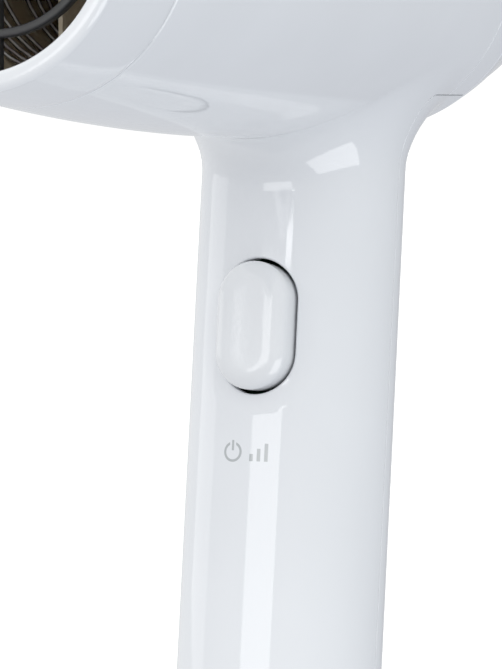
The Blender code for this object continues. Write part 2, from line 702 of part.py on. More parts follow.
def motor():
    magnet_out = MOTOR_RADIUS - MOTOR_WALL - FIT
    magnet_in = magnet_out - MAGNET_THICKNESS
    rotor_radius = magnet_in - FIT
    boss = SHAFT_RADIUS + FIT
    can_bore = MOTOR_RADIUS - MOTOR_WALL
    can = [(boss, MOTOR_TO), (boss, MOTOR_TO - MOTOR_WALL), (can_bore, MOTOR_TO - MOTOR_WALL),
           (can_bore, MOTOR_FROM), (MOTOR_RADIUS, MOTOR_FROM), (MOTOR_RADIUS, MOTOR_TO)]
    finish("motor_can", tube(can, 28), STEEL, at_barrel(0))
    lid_from, lid_to = MOTOR_FROM - LID_PROUD, MOTOR_FROM + LID_DEPTH
    lid = [(boss, lid_from), (MOTOR_RADIUS - LID_STEP, lid_from), (magnet_out, MOTOR_FROM),
           (magnet_out, lid_to), (boss, lid_to)]
    finish("motor_end_cap", tube(lid, 28), DARK, at_barrel(0))
    for name, middle in (("magnet_upper", math.pi), ("magnet_lower", 0)):
        turns = [middle + MAGNET_TURN * (i / 5 - 1) for i in range(11)]
        arc = [(radius * math.sin(turn), -radius * math.cos(turn))
               for radius, way in ((magnet_out, 1), (magnet_in, -1)) for turn in turns[::way]]
        ends = (MOTOR_FROM + MAGNET_FROM, MOTOR_TO - MOTOR_WALL - MAGNET_SHORT)
        finish(name, loft([[(x, y, z) for x, z in arc] for y in ends]), DARK, at_barrel(0))
    core_from, core_to = MOTOR_FROM + ROTOR_FROM, MOTOR_TO - ROTOR_SHORT
    core = [(boss, core_from), (rotor_radius, core_from), (rotor_radius, core_to), (boss, core_to)]
    finish("rotor", tube(core, 24), COPPER, at_barrel(0))
    start = MOTOR_FROM + COMMUTATOR_FROM
    end = start + COMMUTATOR_LENGTH
    commutator = [(boss, start), (COMMUTATOR_RADIUS, start), (COMMUTATOR_RADIUS, end), (boss, end)]
    finish("commutator", tube(commutator, 16), COPPER, at_barrel(0))
    shaft = [(SHAFT_RADIUS, MOTOR_FROM + SHAFT_FROM), (SHAFT_RADIUS, FAN_AT + FAN_DEPTH - SHAFT_SHORT)]
    finish("motor_shaft", rod(shaft, 20), STEEL, at_barrel(0))
    sleeve_to = VANES_AT + VANES_DEPTH
    sleeve = [(MOTOR_RADIUS + FIT, VANES_AT), (HUB_BORE - FIT, VANES_AT), (HUB_BORE - FIT, sleeve_to),
              (MOTOR_RADIUS + FIT, sleeve_to)]
    finish("motor_sleeve", tube(sleeve, 28), RUBBER, at_barrel(0))


def impeller():
    """A hub with blades that turn as they run back, open at their tips."""
    bore = barrel_radius(HANDLE_Y + DUCT_FROM) - WALL
    tip = min(bore, RING_BORE) - 2 * FIT - DUCT_WALL - FAN_TIP_GAP
    bm = spoked((SHAFT_RADIUS + FIT, FAN_HUB, (FAN_HUB + tip) / 2, tip), (True, False, False),
                FAN_BLADES, 0.10, FAN_DEPTH, twist=FAN_TWIST)
    finish("impeller", bm, GREY, at_barrel(FAN_AT))


def heater_coil(name, radius, start, length):
    turns = max(1, round(length / COIL_PITCH))
    curve = bpy.data.curves.new(name, "CURVE")
    curve.dimensions = "3D"
    curve.bevel_depth = COIL_WIRE
    curve.bevel_resolution = 0
    curve.use_fill_caps = True
    line = curve.splines.new("POLY")
    line.points.add(COIL_STEPS * turns)
    for i, point in enumerate(line.points):
        turn = 2 * math.pi * i / COIL_STEPS
        y = start + length * i / (COIL_STEPS * turns)
        point.co = (radius * math.sin(turn), y, radius * math.cos(turn), 1)
    curve.materials.append(material(STEEL))
    obj = bpy.data.objects.new(name, curve)
    obj.matrix_world = at_barrel(0)
    bpy.context.scene.collection.objects.link(obj)


def heater():
    """A cross of two slotted mica boards inside a mica tube, with the wire wound round them."""
    length = HEATER_TO - HEATER_FROM
    middle = (HEATER_TO + HEATER_FROM) / 2
    reach = barrel_radius(HANDLE_Y + HEATER_FROM) - WALL - HEATER_AIR_GAP
    inner = reach - MICA_THICKNESS
    coil_radius = inner - 2 * FIT - COIL_WIRE
    half = coil_radius - 2 * COIL_WIRE - FIT
    profile = [(inner, HEATER_FROM), (reach, HEATER_FROM), (reach, HEATER_TO), (inner, HEATER_TO)]
    finish("mica_tube", tube(profile, 32), MICA, at_barrel(0))
    slot = MICA_THICKNESS + 2 * FIT
    for name, size, slot_size, way in (
        ("mica_board_upright", (MICA_THICKNESS, length, 2 * half), (2 * slot, length, slot), 1),
        ("mica_board_level", (2 * half, length, MICA_THICKNESS), (slot, length, 2 * slot), -1),
    ):
        obj = finish(name, box(size, (0, middle, 0)), MICA, at_barrel(0))
        slot_cut = box(slot_size, (0, middle + way * (length / 2 - FIT), 0))
        combine(obj, cutter(name + "_slot", slot_cut, at_barrel(0)), "DIFFERENCE")
    coil_length = (length - 3 * COIL_MARGIN) / 2
    for name, start in (("heater_coil_front", HEATER_FROM + COIL_MARGIN),
                        ("heater_coil_rear", HEATER_TO - COIL_MARGIN - coil_length)):
        heater_coil(name, coil_radius, start, coil_length)
    start = HEATER_TO - COLLAR_BACK
    end = start + COLLAR_WIDTH
    bore = barrel_radius(HANDLE_Y + start) - WALL - 2 * FIT
    collar = [(reach + FIT, start), (bore, start), (bore, end), (reach + FIT, end)]
    finish("heater_collar", tube(collar, 32), DARK, at_barrel(0))
    lift = MICA_THICKNESS / 2 + GAP
    centre = (SENSOR_ASIDE, HEATER_FROM + THERMOSTAT_AT, lift + THERMOSTAT_SIZE[2] / 2)
    finish("thermostat", box(THERMOSTAT_SIZE, centre, THERMOSTAT_BEVEL), DARK, at_barrel(0))
    fuse = rod([(FUSE_RADIUS - FUSE_ROUND, 0), (FUSE_RADIUS, FUSE_ROUND),
                (FUSE_RADIUS, FUSE_LENGTH - FUSE_ROUND), (FUSE_RADIUS - FUSE_ROUND, FUSE_LENGTH)], 16)
    place = at_barrel(HEATER_FROM + FUSE_AT) @ Matrix.Translation((-SENSOR_ASIDE, 0, lift + FUSE_RADIUS))
    finish("thermal_fuse", fuse, STEEL, place)


def handle_end_cap():
    """Closes the handle's end: a rounded flange, and a plug that goes up inside the wall."""
    count = 32
    rings = [handle_ring(0, count, END_CAP_ROUND), handle_ring(END_CAP_ROUND * 0.3, count, END_CAP_ROUND * 0.3),
             handle_ring(END_CAP_ROUND, count, 0), handle_ring(END_CAP_HEIGHT, count, 0),
             handle_ring(END_CAP_HEIGHT, count, WALL + FIT),
             handle_ring(END_CAP_HEIGHT + PLUG_HEIGHT, count, WALL + FIT)]
    obj = finish("handle_end_cap", loft(rings), WHITE)
    hole = loft([upright_ring(GLAND_RADIUS + FIT, z) for z in (-WALL, END_CAP_HEIGHT + PLUG_HEIGHT + WALL)])
    combine(obj, cutter("gland_hole", hole, Matrix.Translation((0, HANDLE_Y, 0))), "DIFFERENCE")


def upright_ring(radius, z, segments=24):
    turns = [2 * math.pi * i / segments for i in range(segments)]
    return [(radius * math.cos(turn), radius * math.sin(turn), z) for turn in turns]


def cord_gland():
    """The cord's inlet: a soft bush in the end cap, with a flange above it."""
    top = END_CAP_HEIGHT + PLUG_HEIGHT + GAP
    lip = GLAND_RADIUS + GLAND_LIP
    profile = [(GLAND_BORE, GLAND_RECESS), (GLAND_RADIUS, GLAND_RECESS), (GLAND_RADIUS, top), (lip, top),
               (lip, top + GLAND_LIP_HEIGHT), (GLAND_BORE, top + GLAND_LIP_HEIGHT)]
    bm = loft([upright_ring(radius, z) for radius, z in profile], closed=True)
    finish("cord_gland", bm, RUBBER, Matrix.Translation((0, HANDLE_Y, 0)))


def main():
    clear_scene()
    form = body_form("body_form", 1)
    barrel = barrel_bore()
    handle = handle_bore()
    front_housing(form, barrel, handle)
    handle_rear_cover(form, barrel, handle)
    cover_screws()
    for build in (outlet_ring, outlet_grille, rear_ring, filter_cap, intake_grille, filter_mesh,
                  power_button, button_stem, tact_switch, switch_plunger, circuit_board, board_parts,
                  fan_duct, motor, impeller, heater, handle_end_cap, cord_gland):
        build()


main()
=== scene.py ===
"""Looks for the hair dryer: fine shells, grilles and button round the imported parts, their finishes,
and a pale stage. It is laid out as an add-on: one operator for each piece, and a sidebar panel."""

import json
import math
from functools import partialmethod

import bmesh
import bpy
import numpy as np
from bpy.props import FloatProperty, FloatVectorProperty, IntProperty, PointerProperty
from mathutils import Matrix, Vector


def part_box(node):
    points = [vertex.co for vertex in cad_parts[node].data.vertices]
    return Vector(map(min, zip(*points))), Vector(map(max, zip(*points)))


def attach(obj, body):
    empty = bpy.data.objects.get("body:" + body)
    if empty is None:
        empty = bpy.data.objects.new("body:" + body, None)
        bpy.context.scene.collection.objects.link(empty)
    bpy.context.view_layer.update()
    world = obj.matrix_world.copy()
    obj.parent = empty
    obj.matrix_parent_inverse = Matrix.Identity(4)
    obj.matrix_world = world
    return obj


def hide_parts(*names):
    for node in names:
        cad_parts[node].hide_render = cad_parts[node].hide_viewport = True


bl_info = {
    "name": "Hair dryer looks",
    "version": (1, 0, 0),
    "blender": (4, 5, 0),
    "location": "View3D > Sidebar > Hair dryer",
    "description": "Fine shells, grilles, button and finishes of a hair dryer",
    "category": "Object",
}

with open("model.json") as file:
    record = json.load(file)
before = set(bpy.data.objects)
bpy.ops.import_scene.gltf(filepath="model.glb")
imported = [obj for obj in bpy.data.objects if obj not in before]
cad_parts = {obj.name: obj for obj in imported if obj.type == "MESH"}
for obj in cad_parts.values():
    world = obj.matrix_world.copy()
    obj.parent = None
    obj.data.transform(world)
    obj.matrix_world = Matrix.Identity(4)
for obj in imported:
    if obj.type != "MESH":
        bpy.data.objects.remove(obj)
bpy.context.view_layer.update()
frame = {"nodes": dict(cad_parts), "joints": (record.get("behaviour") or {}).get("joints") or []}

# Sizes that the frame's boxes don't give
HANDLE_HALF_DEPTH = 0.02015
HANDLE_POWER = 2.2
FILLET = 0.0100
WALL = 0.0022
GAP = 0.0003
EDGE = 0.0003
REAR_TAPER = 0.0011
COVER_SETBACK = 0.0018
COVER_RISE = 0.0083
COVER_CORNER = 0.0045
OUTLET_TAPER = 0.0021
OUTLET_RIM = 0.0034
OUTLET_ROUND = 0.0014
OUTLET_SHOULDER = 0.0006
OUTLET_LIP = 0.0008
GRILLE_LEDGE = 0.0016
GRILLE_RECESS = 0.0110
GRILLE_HUB = 0.0030
GRILLE_DEPTH = 0.0024
GRILLE_SPOKES = 6
SPOKE_HALF = 0.0008
RING_LIP = 0.0042
BACK_SLOPE = 0.21
CAP_STEP = 0.0004
CAP_RIM = 0.0102
CAP_WALL = 0.0032
CAP_FACE = 0.0020
INTAKE_DOME = 0.0020
SHEET = 0.0004
PLUG_WALL = 0.0020

# The parting gap closes up from this height, over this rise
THIN_GAP = 0.0001
THIN_FROM = 0.112
THIN_RISE = 0.012

# The dish round the button's opening fades out towards its top
DISH_TOP = 0.095
DISH_FADE = 0.010

# A shallow groove round the rear of the barrel
GROOVE_Y = 0.0652
GROOVE_HALF = 0.00035
GROOVE_DEPTH = 0.0003

# Button
BUTTON_DROP = 0.0388
OPENING_WIDTH = 0.0158
OPENING_HEIGHT = 0.0262
BUTTON_GAP = 0.0007
BUTTON_BACK = 0.0060
BUTTON_SHOULDER = 0.0012
BUTTON_PROUD = 0.0043
BUTTON_STRAIGHT = 0.0018
BUTTON_ROLL = 0.0038
BUTTON_HOLLOW = 0.00002

# Printed mark
MARK_DROP = 0.0243
MARK_RADIUS = 0.0017
MARK_LINE = 0.00045
MARK_STEP = 0.0036

# Screws and heater wire
SCREW_RADIUS = 0.0014
SCREW_LENGTH = 0.0096
SCREW_SEAT = 0.0014
HEAD_RADIUS = 0.0027
HEAD_HEIGHT = 0.0011
HEAD_ROUND = 0.0004
RECESS_DEPTH = 0.0007
WIRE_RADIUS = 0.00042
WIRE_PITCH = 0.0044

# Meshing
AROUND = 16
FINE = 192
ROUND_STEPS = (0.06, 0.25, 0.6, 1.0)
TINY = 1e-9

# Stage: its radius, and the camera's sensor and its aim beside the button
STAGE_RADIUS = 12
SENSOR_WIDTH = 36
AIM_ASIDE = 0.0088

# Light: broad lobes all round, and lights that only show as reflections
LOBE_POWER = 3.0
LOBES = (
    # azimuth, elevation, colour
    (0, 90, (0.819, 0.829, 0.780)),
    (0, -90, (0.660, 0.670, 0.660)),
    (0, 30, (1.135, 1.136, 1.120)),
    (60, 30, (0.790, 0.798, 0.790)),
    (120, 30, (0.410, 0.417, 0.415)),
    (180, 30, (0.272, 0.274, 0.279)),
    (240, 30, (0.662, 0.672, 0.665)),
    (300, 30, (0.679, 0.693, 0.716)),
    (0, -30, (0.270, 0.275, 0.300)),
    (60, -30, (0.541, 0.567, 0.605)),
    (120, -30, (0.459, 0.485, 0.530)),
    (180, -30, (0.175, 0.179, 0.210)),
    (240, -30, (0.630, 0.641, 0.650)),
    (300, -30, (0.325, 0.325, 0.330)),
)
LIGHTS = (
    # name, azimuth, elevation, distance, (width, height), power
    ("box_front", -7.5, 4.93, 1.2, (0.62, 0.315), 1.95),
    ("box_left", -82, 4.5, 1.2, (0.69, 0.31), 0.67),
    ("strip_top", 6.0, 12.9, 1.2, (0.14, 0.026), 0.08),
    ("box_low", 70, -28, 1.2, (1.35, 0.80), 12.0),
)

# Places read from the frame
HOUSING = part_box("front_housing")
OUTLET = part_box("outlet_ring")
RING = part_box("rear_ring")
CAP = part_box("filter_cap")
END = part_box("handle_end_cap")
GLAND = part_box("cord_gland")
SEAM_Y, REAR_Y = HOUSING[0][1], HOUSING[1][1]
BASE_Z = HOUSING[0][2]
BARREL_RADIUS = HOUSING[1][0]
BARREL_Z = HOUSING[1][2] - BARREL_RADIUS
FRONT_RADIUS = OUTLET[1][0]
REAR_RADIUS = BARREL_RADIUS - REAR_TAPER
HANDLE_Y = (GLAND[0][1] + GLAND[1][1]) / 2
HANDLE_HALF_WIDTH = END[1][0]
PUSH = next(j for j in frame["joints"] if j["name"] == "power_button_push")
LEAN = math.atan2(-PUSH["axis"][2], PUSH["axis"][1])
UPRIGHT = Matrix.Translation((0, HANDLE_Y, 0)) @ Matrix.Rotation(-LEAN, 4, "X")
NECK = (BARREL_Z - BARREL_RADIUS) / math.cos(LEAN)
BUTTON_ALONG = NECK - BUTTON_DROP


# ---- Settings that a user would change ----


def length_setting(name, description, default, low, high):
    return FloatProperty(
        name=name, description=description, default=default, min=low, max=high, unit="LENGTH", precision=5
    )


def share_setting(name, description, default):
    return FloatProperty(name=name, description=description, default=default, min=0, max=1, subtype="FACTOR")


def colour_setting(name, description, default):
    return FloatVectorProperty(
        name=name, description=description, default=default, size=3, min=0, max=1, subtype="COLOR"
    )


class DryerShape(bpy.types.PropertyGroup):
    fineness: IntProperty(
        name="Fineness", description="Cuts across each face of the coarse form", default=9, min=1, max=20
    )
    seam_round: length_setting(
        "Seam rounding", "Radius of the mouldings' edges along the parting line", 0.00015, 0.00005, 0.001
    )
    end_round: length_setting(
        "End rounding", "Radius of the barrel's and handle's end edges", 0.0006, 0.00005, 0.002
    )
    opening_round: length_setting(
        "Opening rounding", "Radius of the edge round the button", 0.0004, 0.00005, 0.001
    )
    dish_depth: length_setting(
        "Dish depth", "How far the surface falls towards the opening", 0.0003, 0.0, 0.001
    )
    dish_reach: length_setting(
        "Dish reach", "How far from the opening the surface starts to fall", 0.0045, 0.001, 0.01
    )


class DryerFinish(bpy.types.PropertyGroup):
    shell_colour: colour_setting("Shell", "Colour of the white mouldings", (0.715, 0.730, 0.755))
    shell_roughness: share_setting("Shell roughness", "Roughness of the white mouldings", 0.05)
    button_colour: colour_setting("Button", "Colour of the push button", (0.715, 0.728, 0.748))
    button_roughness: share_setting("Button roughness", "Roughness of the push button", 0.09)
    mark_colour: colour_setting("Mark", "Colour of the printed power mark", (0.42, 0.44, 0.45))


class DryerStage(bpy.types.PropertyGroup):
    azimuth: FloatProperty(
        name="Azimuth", description="Camera's turn from the outlet's side", default=math.radians(23.2),
        subtype="ANGLE",
    )
    elevation: FloatProperty(
        name="Elevation", description="Camera's height angle", default=math.radians(2.8), subtype="ANGLE"
    )
    distance: FloatProperty(
        name="Distance", description="From the camera to the handle beside the button",
        default=0.933, min=0.2, unit="LENGTH",
    )
    lens: FloatProperty(
        name="Lens", description="Focal length in millimetres", default=256.2, min=20, max=600
    )
    fill: FloatProperty(
        name="Fill", description="Strength of the even light from all round", default=1.0, min=0
    )


# ---- Shader maths ----


class Value:
    """One socket of a material. Arithmetic on values adds Math nodes."""

    def __init__(self, shader, socket):
        self.shader = shader
        self.socket = socket

    def math(self, operation, *others):
        inputs = dict(enumerate((self, *others)))
        return self.shader.add("ShaderNodeMath", {"operation": operation}, inputs)

    __add__ = __radd__ = partialmethod(math, "ADD")
    __sub__ = partialmethod(math, "SUBTRACT")
    __mul__ = __rmul__ = partialmethod(math, "MULTIPLY")
    __abs__ = partialmethod(math, "ABSOLUTE")
    __lt__ = partialmethod(math, "LESS_THAN")
    __gt__ = partialmethod(math, "GREATER_THAN")

    def __rsub__(self, other):
        return self.shader.add("ShaderNodeMath", {"operation": "SUBTRACT"}, {0: other, 1: self})

    def smooth(self, low, high):
        """0 at low, 1 at high, with soft ends."""
        inputs = {"Value": self, "From Min": low, "From Max": high}
        return self.shader.add("ShaderNodeMapRange", {"interpolation_type": "SMOOTHSTEP"}, inputs)


class Nodes:
    """A node tree that values are worked out in."""

    def __init__(self, tree):
        self.tree = tree

    def add(self, kind, settings=None, inputs=None, output=0):
        """A node of this type with these settings, then its sockets' values or links."""
        node = self.tree.nodes.new(kind)
        for key, value in (settings or {}).items():
            setattr(node, key, value)
        for key, value in (inputs or {}).items():
            if isinstance(value, Value):
                self.tree.links.new(value.socket, node.inputs[key])
            else:
                node.inputs[key].default_value = value
        return Value(self, node.outputs[output])

    def axes(self, point):
        node = self.add("ShaderNodeSeparateXYZ", inputs={0: point})
        return [Value(self, output) for output in node.socket.node.outputs]


class Shader(Nodes):
    """A material with a Principled BSDF, and the nodes that feed it."""

    def __init__(self, name, **constants):
        self.material = bpy.data.materials.new(name)
        self.material.use_nodes = True
        super().__init__(self.material.node_tree)
        self.principled = self.tree.nodes["Principled BSDF"]
        for socket, value in constants.items():
            value = (*value, 1) if isinstance(value, (tuple, list)) else value
            self.principled.inputs[socket.replace("_", " ")].default_value = value

    def feed(self, **sockets):
        for socket, value in sockets.items():
            self.tree.links.new(value.socket, self.principled.inputs[socket.replace("_", " ")])

    def place(self):
        """The point on the object, in metres."""
        return self.add("ShaderNodeTexCoord", output="Object")

    def noise(self, scale, detail=2.0, point=None):
        inputs = {"Vector": point or self.place(), "Scale": scale, "Detail": detail}
        return self.add("ShaderNodeTexNoise", inputs=inputs)

    def mix(self, factor, first, second):
        settings = {"data_type": "RGBA"}
        first, second = ((*c, 1) if isinstance(c, tuple) else c for c in (first, second))
        return self.add("ShaderNodeMix", settings, {0: factor, 6: first, 7: second}, output=2)

    def bump(self, height, distance, strength=1.0):
        self.feed(Normal=self.add("ShaderNodeBump", inputs={
            "Height": height, "Distance": distance, "Strength": strength}))


def shade(colour, factor):
    return tuple(min(channel * factor, 1) for channel in colour)


def moulded(name, colour, roughness, grain=0.0, speck=900.0, print_mask=None, mark=None):
    """Moulded plastic: faint colour and gloss variation, a slow flow in the surface, and a fine grain."""
    shader = Shader(name, IOR=1.46)
    cloud = shader.noise(28.0, 3.0)
    tone = shader.mix(cloud.smooth(0.3, 0.7), shade(colour, 0.985), shade(colour, 1.01))
    if print_mask:
        mask = print_mask(shader)
        tone = shader.mix(mask, tone, mark)
    fine = shader.noise(speck, 2.0)
    gloss = roughness + (fine - 0.5) * (0.25 * roughness) + (cloud - 0.5) * (0.3 * roughness)
    shader.feed(Base_Color=tone, Roughness=gloss)
    shader.bump(shader.noise(45.0, 1.0) + fine * grain, 0.00006)
    return shader.material


def power_mark(shader):
    """A broken ring with an upright bar, and three rising bars beside it, printed below the button."""
    x, y, z = shader.axes(shader.place())
    along = (y - HANDLE_Y) * math.sin(LEAN) + z * math.cos(LEAN) - (BUTTON_ALONG - MARK_DROP)
    front = (y - HANDLE_Y) * math.cos(LEAN) - z * math.sin(LEAN) < 0
    ring_x = x + MARK_STEP
    reach = (ring_x * ring_x + along * along).math("SQRT")
    ring = 1 - abs(reach - MARK_RADIUS).smooth(MARK_LINE * 0.45, MARK_LINE * 0.62)
    notch = (abs(ring_x) < MARK_LINE * 1.5) * (along > 0)
    bar = (1 - abs(ring_x).smooth(MARK_LINE * 0.40, MARK_LINE * 0.60)) * (
        1 - abs(along - MARK_RADIUS * 0.75).smooth(MARK_RADIUS * 0.55, MARK_RADIUS * 0.62))
    mask = (ring * (1 - notch)).math("MAXIMUM", bar)
    for i in range(3):
        height = MARK_RADIUS * (0.4 + 0.3 * i)
        offset = x - MARK_STEP * (0.1 + 0.42 * i)
        block = (1 - abs(offset).smooth(MARK_LINE * 0.7, MARK_LINE * 0.9)) * (
            1 - abs(along + MARK_RADIUS - height).smooth(height * 0.97, height * 1.03 + 0.00005))
        mask = mask.math("MAXIMUM", block)
    return mask * front


def brushed_steel(name, colour=(0.56, 0.56, 0.57), roughness=0.28):
    shader = Shader(name, Metallic=1.0)
    x, y, z = shader.axes(shader.place())
    stretched = shader.add("ShaderNodeCombineXYZ", inputs={0: x * 40.0, 1: y * 3.0, 2: z * 40.0})
    streak = shader.noise(60.0, 3.0, stretched)
    tone = shader.mix(streak, shade(colour, 0.88), shade(colour, 1.08))
    shader.feed(Base_Color=tone, Roughness=roughness + (streak - 0.5) * 0.16)
    shader.bump(streak, 0.00003)
    return shader.material


def soft_rubber():
    shader = Shader("bush_rubber", Specular_IOR_Level=0.35)
    dust = shader.noise(300.0, 4.0)
    tone = shader.mix(dust.smooth(0.45, 0.75), (0.016, 0.016, 0.017), (0.035, 0.035, 0.036))
    shader.feed(Base_Color=tone, Roughness=0.72 + dust * 0.14)
    shader.bump(dust, 0.00008)
    return shader.material


def mica_sheet():
    """Pressed mica: pale brown flakes in a binder."""
    shader = Shader("pressed_mica")
    flakes = shader.add("ShaderNodeTexVoronoi", inputs={"Vector": shader.place(), "Scale": 420.0})
    cloud = shader.noise(60.0, 4.0)
    base = shader.mix(cloud, (0.50, 0.40, 0.27), (0.70, 0.61, 0.46))
    tone = shader.mix(flakes.smooth(0.0, 0.6), (0.78, 0.71, 0.57), base)
    shader.feed(Base_Color=tone, Roughness=0.35 + flakes * 0.5)
    shader.bump(flakes, 0.00005)
    return shader.material


def copper_winding():
    shader = Shader("copper_winding", Metallic=1.0)
    _, y, _ = shader.axes(shader.place())
    turns = (y * 9000.0).math("SINE")
    # Painted shade and painted highlight: the base colour is darker copper in the valleys between turns and
    # brighter copper on their crests; the bump below makes the grooves themselves
    tone = shader.mix(turns.smooth(-1, 1), (0.42, 0.17, 0.07), (0.80, 0.42, 0.22))
    shader.feed(Base_Color=tone, Roughness=0.38 - turns * 0.08)
    shader.bump(turns, 0.00010)
    return shader.material


def printed_board():
    """Green lacquer over raised tracks, with bare solder points."""
    shader = Shader("board_lacquer")
    cells = shader.add("ShaderNodeTexVoronoi", {"feature": "DISTANCE_TO_EDGE"},
                       {"Vector": shader.place(), "Scale": 210.0})
    track = cells.smooth(0.05, 0.12)
    points = shader.add("ShaderNodeTexVoronoi", inputs={"Vector": shader.place(), "Scale": 330.0})
    solder = 1 - points.smooth(0.16, 0.22)
    lacquer = shader.mix(track, (0.012, 0.11, 0.05), (0.03, 0.20, 0.085))
    tone = shader.mix(solder, lacquer, (0.55, 0.55, 0.54))
    shader.feed(Base_Color=tone, Metallic=solder, Roughness=0.32 + track * 0.1)
    shader.bump(track + solder, 0.00010)
    return shader.material


def woven_mesh():
    """Fine woven steel: crossed wires with dark spaces between."""
    shader = Shader("woven_mesh")
    x, _, z = shader.axes(shader.place())
    pitch = math.pi / 0.0006
    warp = abs((x * pitch).math("SINE"))
    weft = abs((z * pitch).math("SINE"))
    wire = warp.math("MAXIMUM", weft).smooth(0.55, 0.85)
    tone = shader.mix(wire, (0.012, 0.012, 0.013), (0.36, 0.36, 0.37))
    shader.feed(Base_Color=tone, Metallic=wire * 0.9, Roughness=0.75 - wire * 0.35)
    shader.bump(wire, 0.00010)
    return shader.material


def heater_wire():
    shader = Shader("resistance_wire", Metallic=1.0)
    heat = shader.noise(240.0, 3.0)
    tone = shader.mix(heat.smooth(0.35, 0.7), (0.33, 0.32, 0.31), (0.22, 0.19, 0.20))
    shader.feed(Base_Color=tone, Roughness=0.36 + heat * 0.2)
    return shader.material


# ---- The outer form ----


def barrel_radius(y):
    along = y - HANDLE_Y
    front = FRONT_RADIUS + (BARREL_RADIUS - FRONT_RADIUS) * (1 - (along / (SEAM_Y - HANDLE_Y)) ** 2)
    rear = REAR_RADIUS + (BARREL_RADIUS - REAR_RADIUS) * (1 - (along / (REAR_Y - HANDLE_Y)) ** 2)
    return np.where(along < 0, front, rear)


def back_radius(y):
    """Behind the barrel the band and the cap go on narrowing in one straight slope."""
    return REAR_RADIUS - BACK_SLOPE * (y - REAR_Y)


def handle_reach(turn, inset=0.0):
    wide = np.abs(np.sin(turn)) / (HANDLE_HALF_WIDTH - inset)
    deep = np.abs(np.cos(turn)) / (HANDLE_HALF_DEPTH - inset)
    return (wide**HANDLE_POWER + deep**HANDLE_POWER) ** (-1 / HANDLE_POWER)


def across(p):
    """How far behind the handle's leaning middle plane each point lies."""
    return (p[:, 1] - HANDLE_Y) * math.cos(LEAN) - p[:, 2] * math.sin(LEAN)


def along(p):
    """How far up the handle's axis each point lies."""
    return (p[:, 1] - HANDLE_Y) * math.sin(LEAN) + p[:, 2] * math.cos(LEAN)


def outside(p):
    """How far each point lies outside the barrel and handle, joined by a round fillet."""
    barrel = np.hypot(p[:, 0], p[:, 2] - BARREL_Z) - barrel_radius(p[:, 1])
    behind = across(p)
    handle = np.hypot(p[:, 0], behind) - handle_reach(np.arctan2(p[:, 0], -behind))
    rounding = np.hypot(np.maximum(FILLET - barrel, 0), np.maximum(FILLET - handle, 0))
    joined = np.maximum(FILLET, np.minimum(barrel, handle)) - rounding
    return np.where(p[:, 2] > BARREL_Z, barrel, joined)


def ahead_of_cover(p):
    """How far each point lies outside the rear cover's region, over its rounded corner."""
    front = COVER_SETBACK - across(p)
    above = p[:, 2] - (BARREL_Z - BARREL_RADIUS + COVER_RISE)
    a, b = front + COVER_CORNER, above + COVER_CORNER
    return np.hypot(np.maximum(a, 0), np.maximum(b, 0)) + np.minimum(np.maximum(a, b), 0) - COVER_CORNER


def ahead_of_parting(p):
    """How far a point is ahead of the parting gap, which closes up towards the barrel."""
    share = np.clip((p[:, 2] - THIN_FROM) / THIN_RISE, 0, 1)
    return ahead_of_cover(p) - GAP + (GAP - THIN_GAP) * share


def stadium_distance(u, v, width, height):
    """How far points (u, v) lie outside an upright stadium."""
    straight = (height - width) / 2
    return np.hypot(u, np.maximum(np.abs(v) - straight, 0)) - width / 2


def beyond_opening(p):
    """How far each point lies outside the button's opening, on the handle's front."""
    distance = stadium_distance(p[:, 0], along(p) - BUTTON_ALONG, OPENING_WIDTH, OPENING_HEIGHT)
    return np.where(across(p) < 0, distance, 1.0)


def slope(field, p, step=2e-6):
    """The gradient of a field at each point."""
    out = np.empty_like(p)
    for axis in range(3):
        shift = np.zeros(3)
        shift[axis] = step
        out[:, axis] = (field(p + shift) - field(p - shift)) / (2 * step)
    return out


def full_turn(count, steps=None):
    """Angles round a circle of count steps."""
    return 2 * np.pi * np.arange(steps or count) / count


def ring_points(radius, y, count):
    turn = full_turn(count)
    return np.column_stack((radius * np.sin(turn), np.full(count, y), BARREL_Z - radius * np.cos(turn)))


def handle_points(z, count, inset=0.0, start=0.0):
    turn = start + full_turn(count)
    reach = handle_reach(turn, inset)
    y = HANDLE_Y + z * math.tan(LEAN) - reach * np.cos(turn) / math.cos(LEAN)
    return np.column_stack((reach * np.sin(turn), y, np.full(count, z)))


def coarse_form():
    """The barrel and handle as a coarse tube with a branch, open at its three ends."""
    bm = bmesh.new()
    neck_z = BARREL_Z - BARREL_RADIUS
    neck_y = HANDLE_Y + neck_z * math.tan(LEAN)
    from_y = neck_y - HANDLE_HALF_DEPTH - FILLET
    to_y = min(neck_y + HANDLE_HALF_DEPTH + FILLET, REAR_Y - FILLET / 5)
    rows = [SEAM_Y + (from_y - SEAM_Y) * i / 5 for i in range(5)]
    branch = len(rows)
    rows += [from_y + (to_y - from_y) * i / 4 for i in range(5)] + [REAR_Y]
    barrel = [[bm.verts.new(p) for p in ring_points(float(barrel_radius(y)), y, AROUND)] for y in rows]
    for i in range(len(rows) - 1):
        for j in range(AROUND):
            if branch <= i < branch + 4 and (j < 2 or j >= AROUND - 2):
                continue
            k = (j + 1) % AROUND
            bm.faces.new((barrel[i][j], barrel[i][k], barrel[i + 1][k], barrel[i + 1][j]))
    mouth = [barrel[branch][j] for j in (-2, -1, 0, 1, 2)]
    mouth += [barrel[branch + i][2] for i in (1, 2, 3, 4)]
    mouth += [barrel[branch + 4][j] for j in (1, 0, -1, -2)]
    mouth += [barrel[branch + i][-2] for i in (3, 2, 1)]
    heights = [neck_z - FILLET * share for share in (0.25, 1.2)]
    heights += [BASE_Z + (heights[-1] - BASE_Z) * share / 8 for share in range(7, -1, -1)]
    for z in heights:
        flare = -FILLET / 2 if z == heights[0] else 0
        below = [bm.verts.new(p) for p in handle_points(z, AROUND, flare, -math.pi / 4)]
        for i in range(AROUND):
            k = (i + 1) % AROUND
            bm.faces.new((mouth[i], mouth[k], below[k], below[i]))
        mouth = below
    bmesh.ops.recalc_face_normals(bm, faces=bm.faces)
    return bm


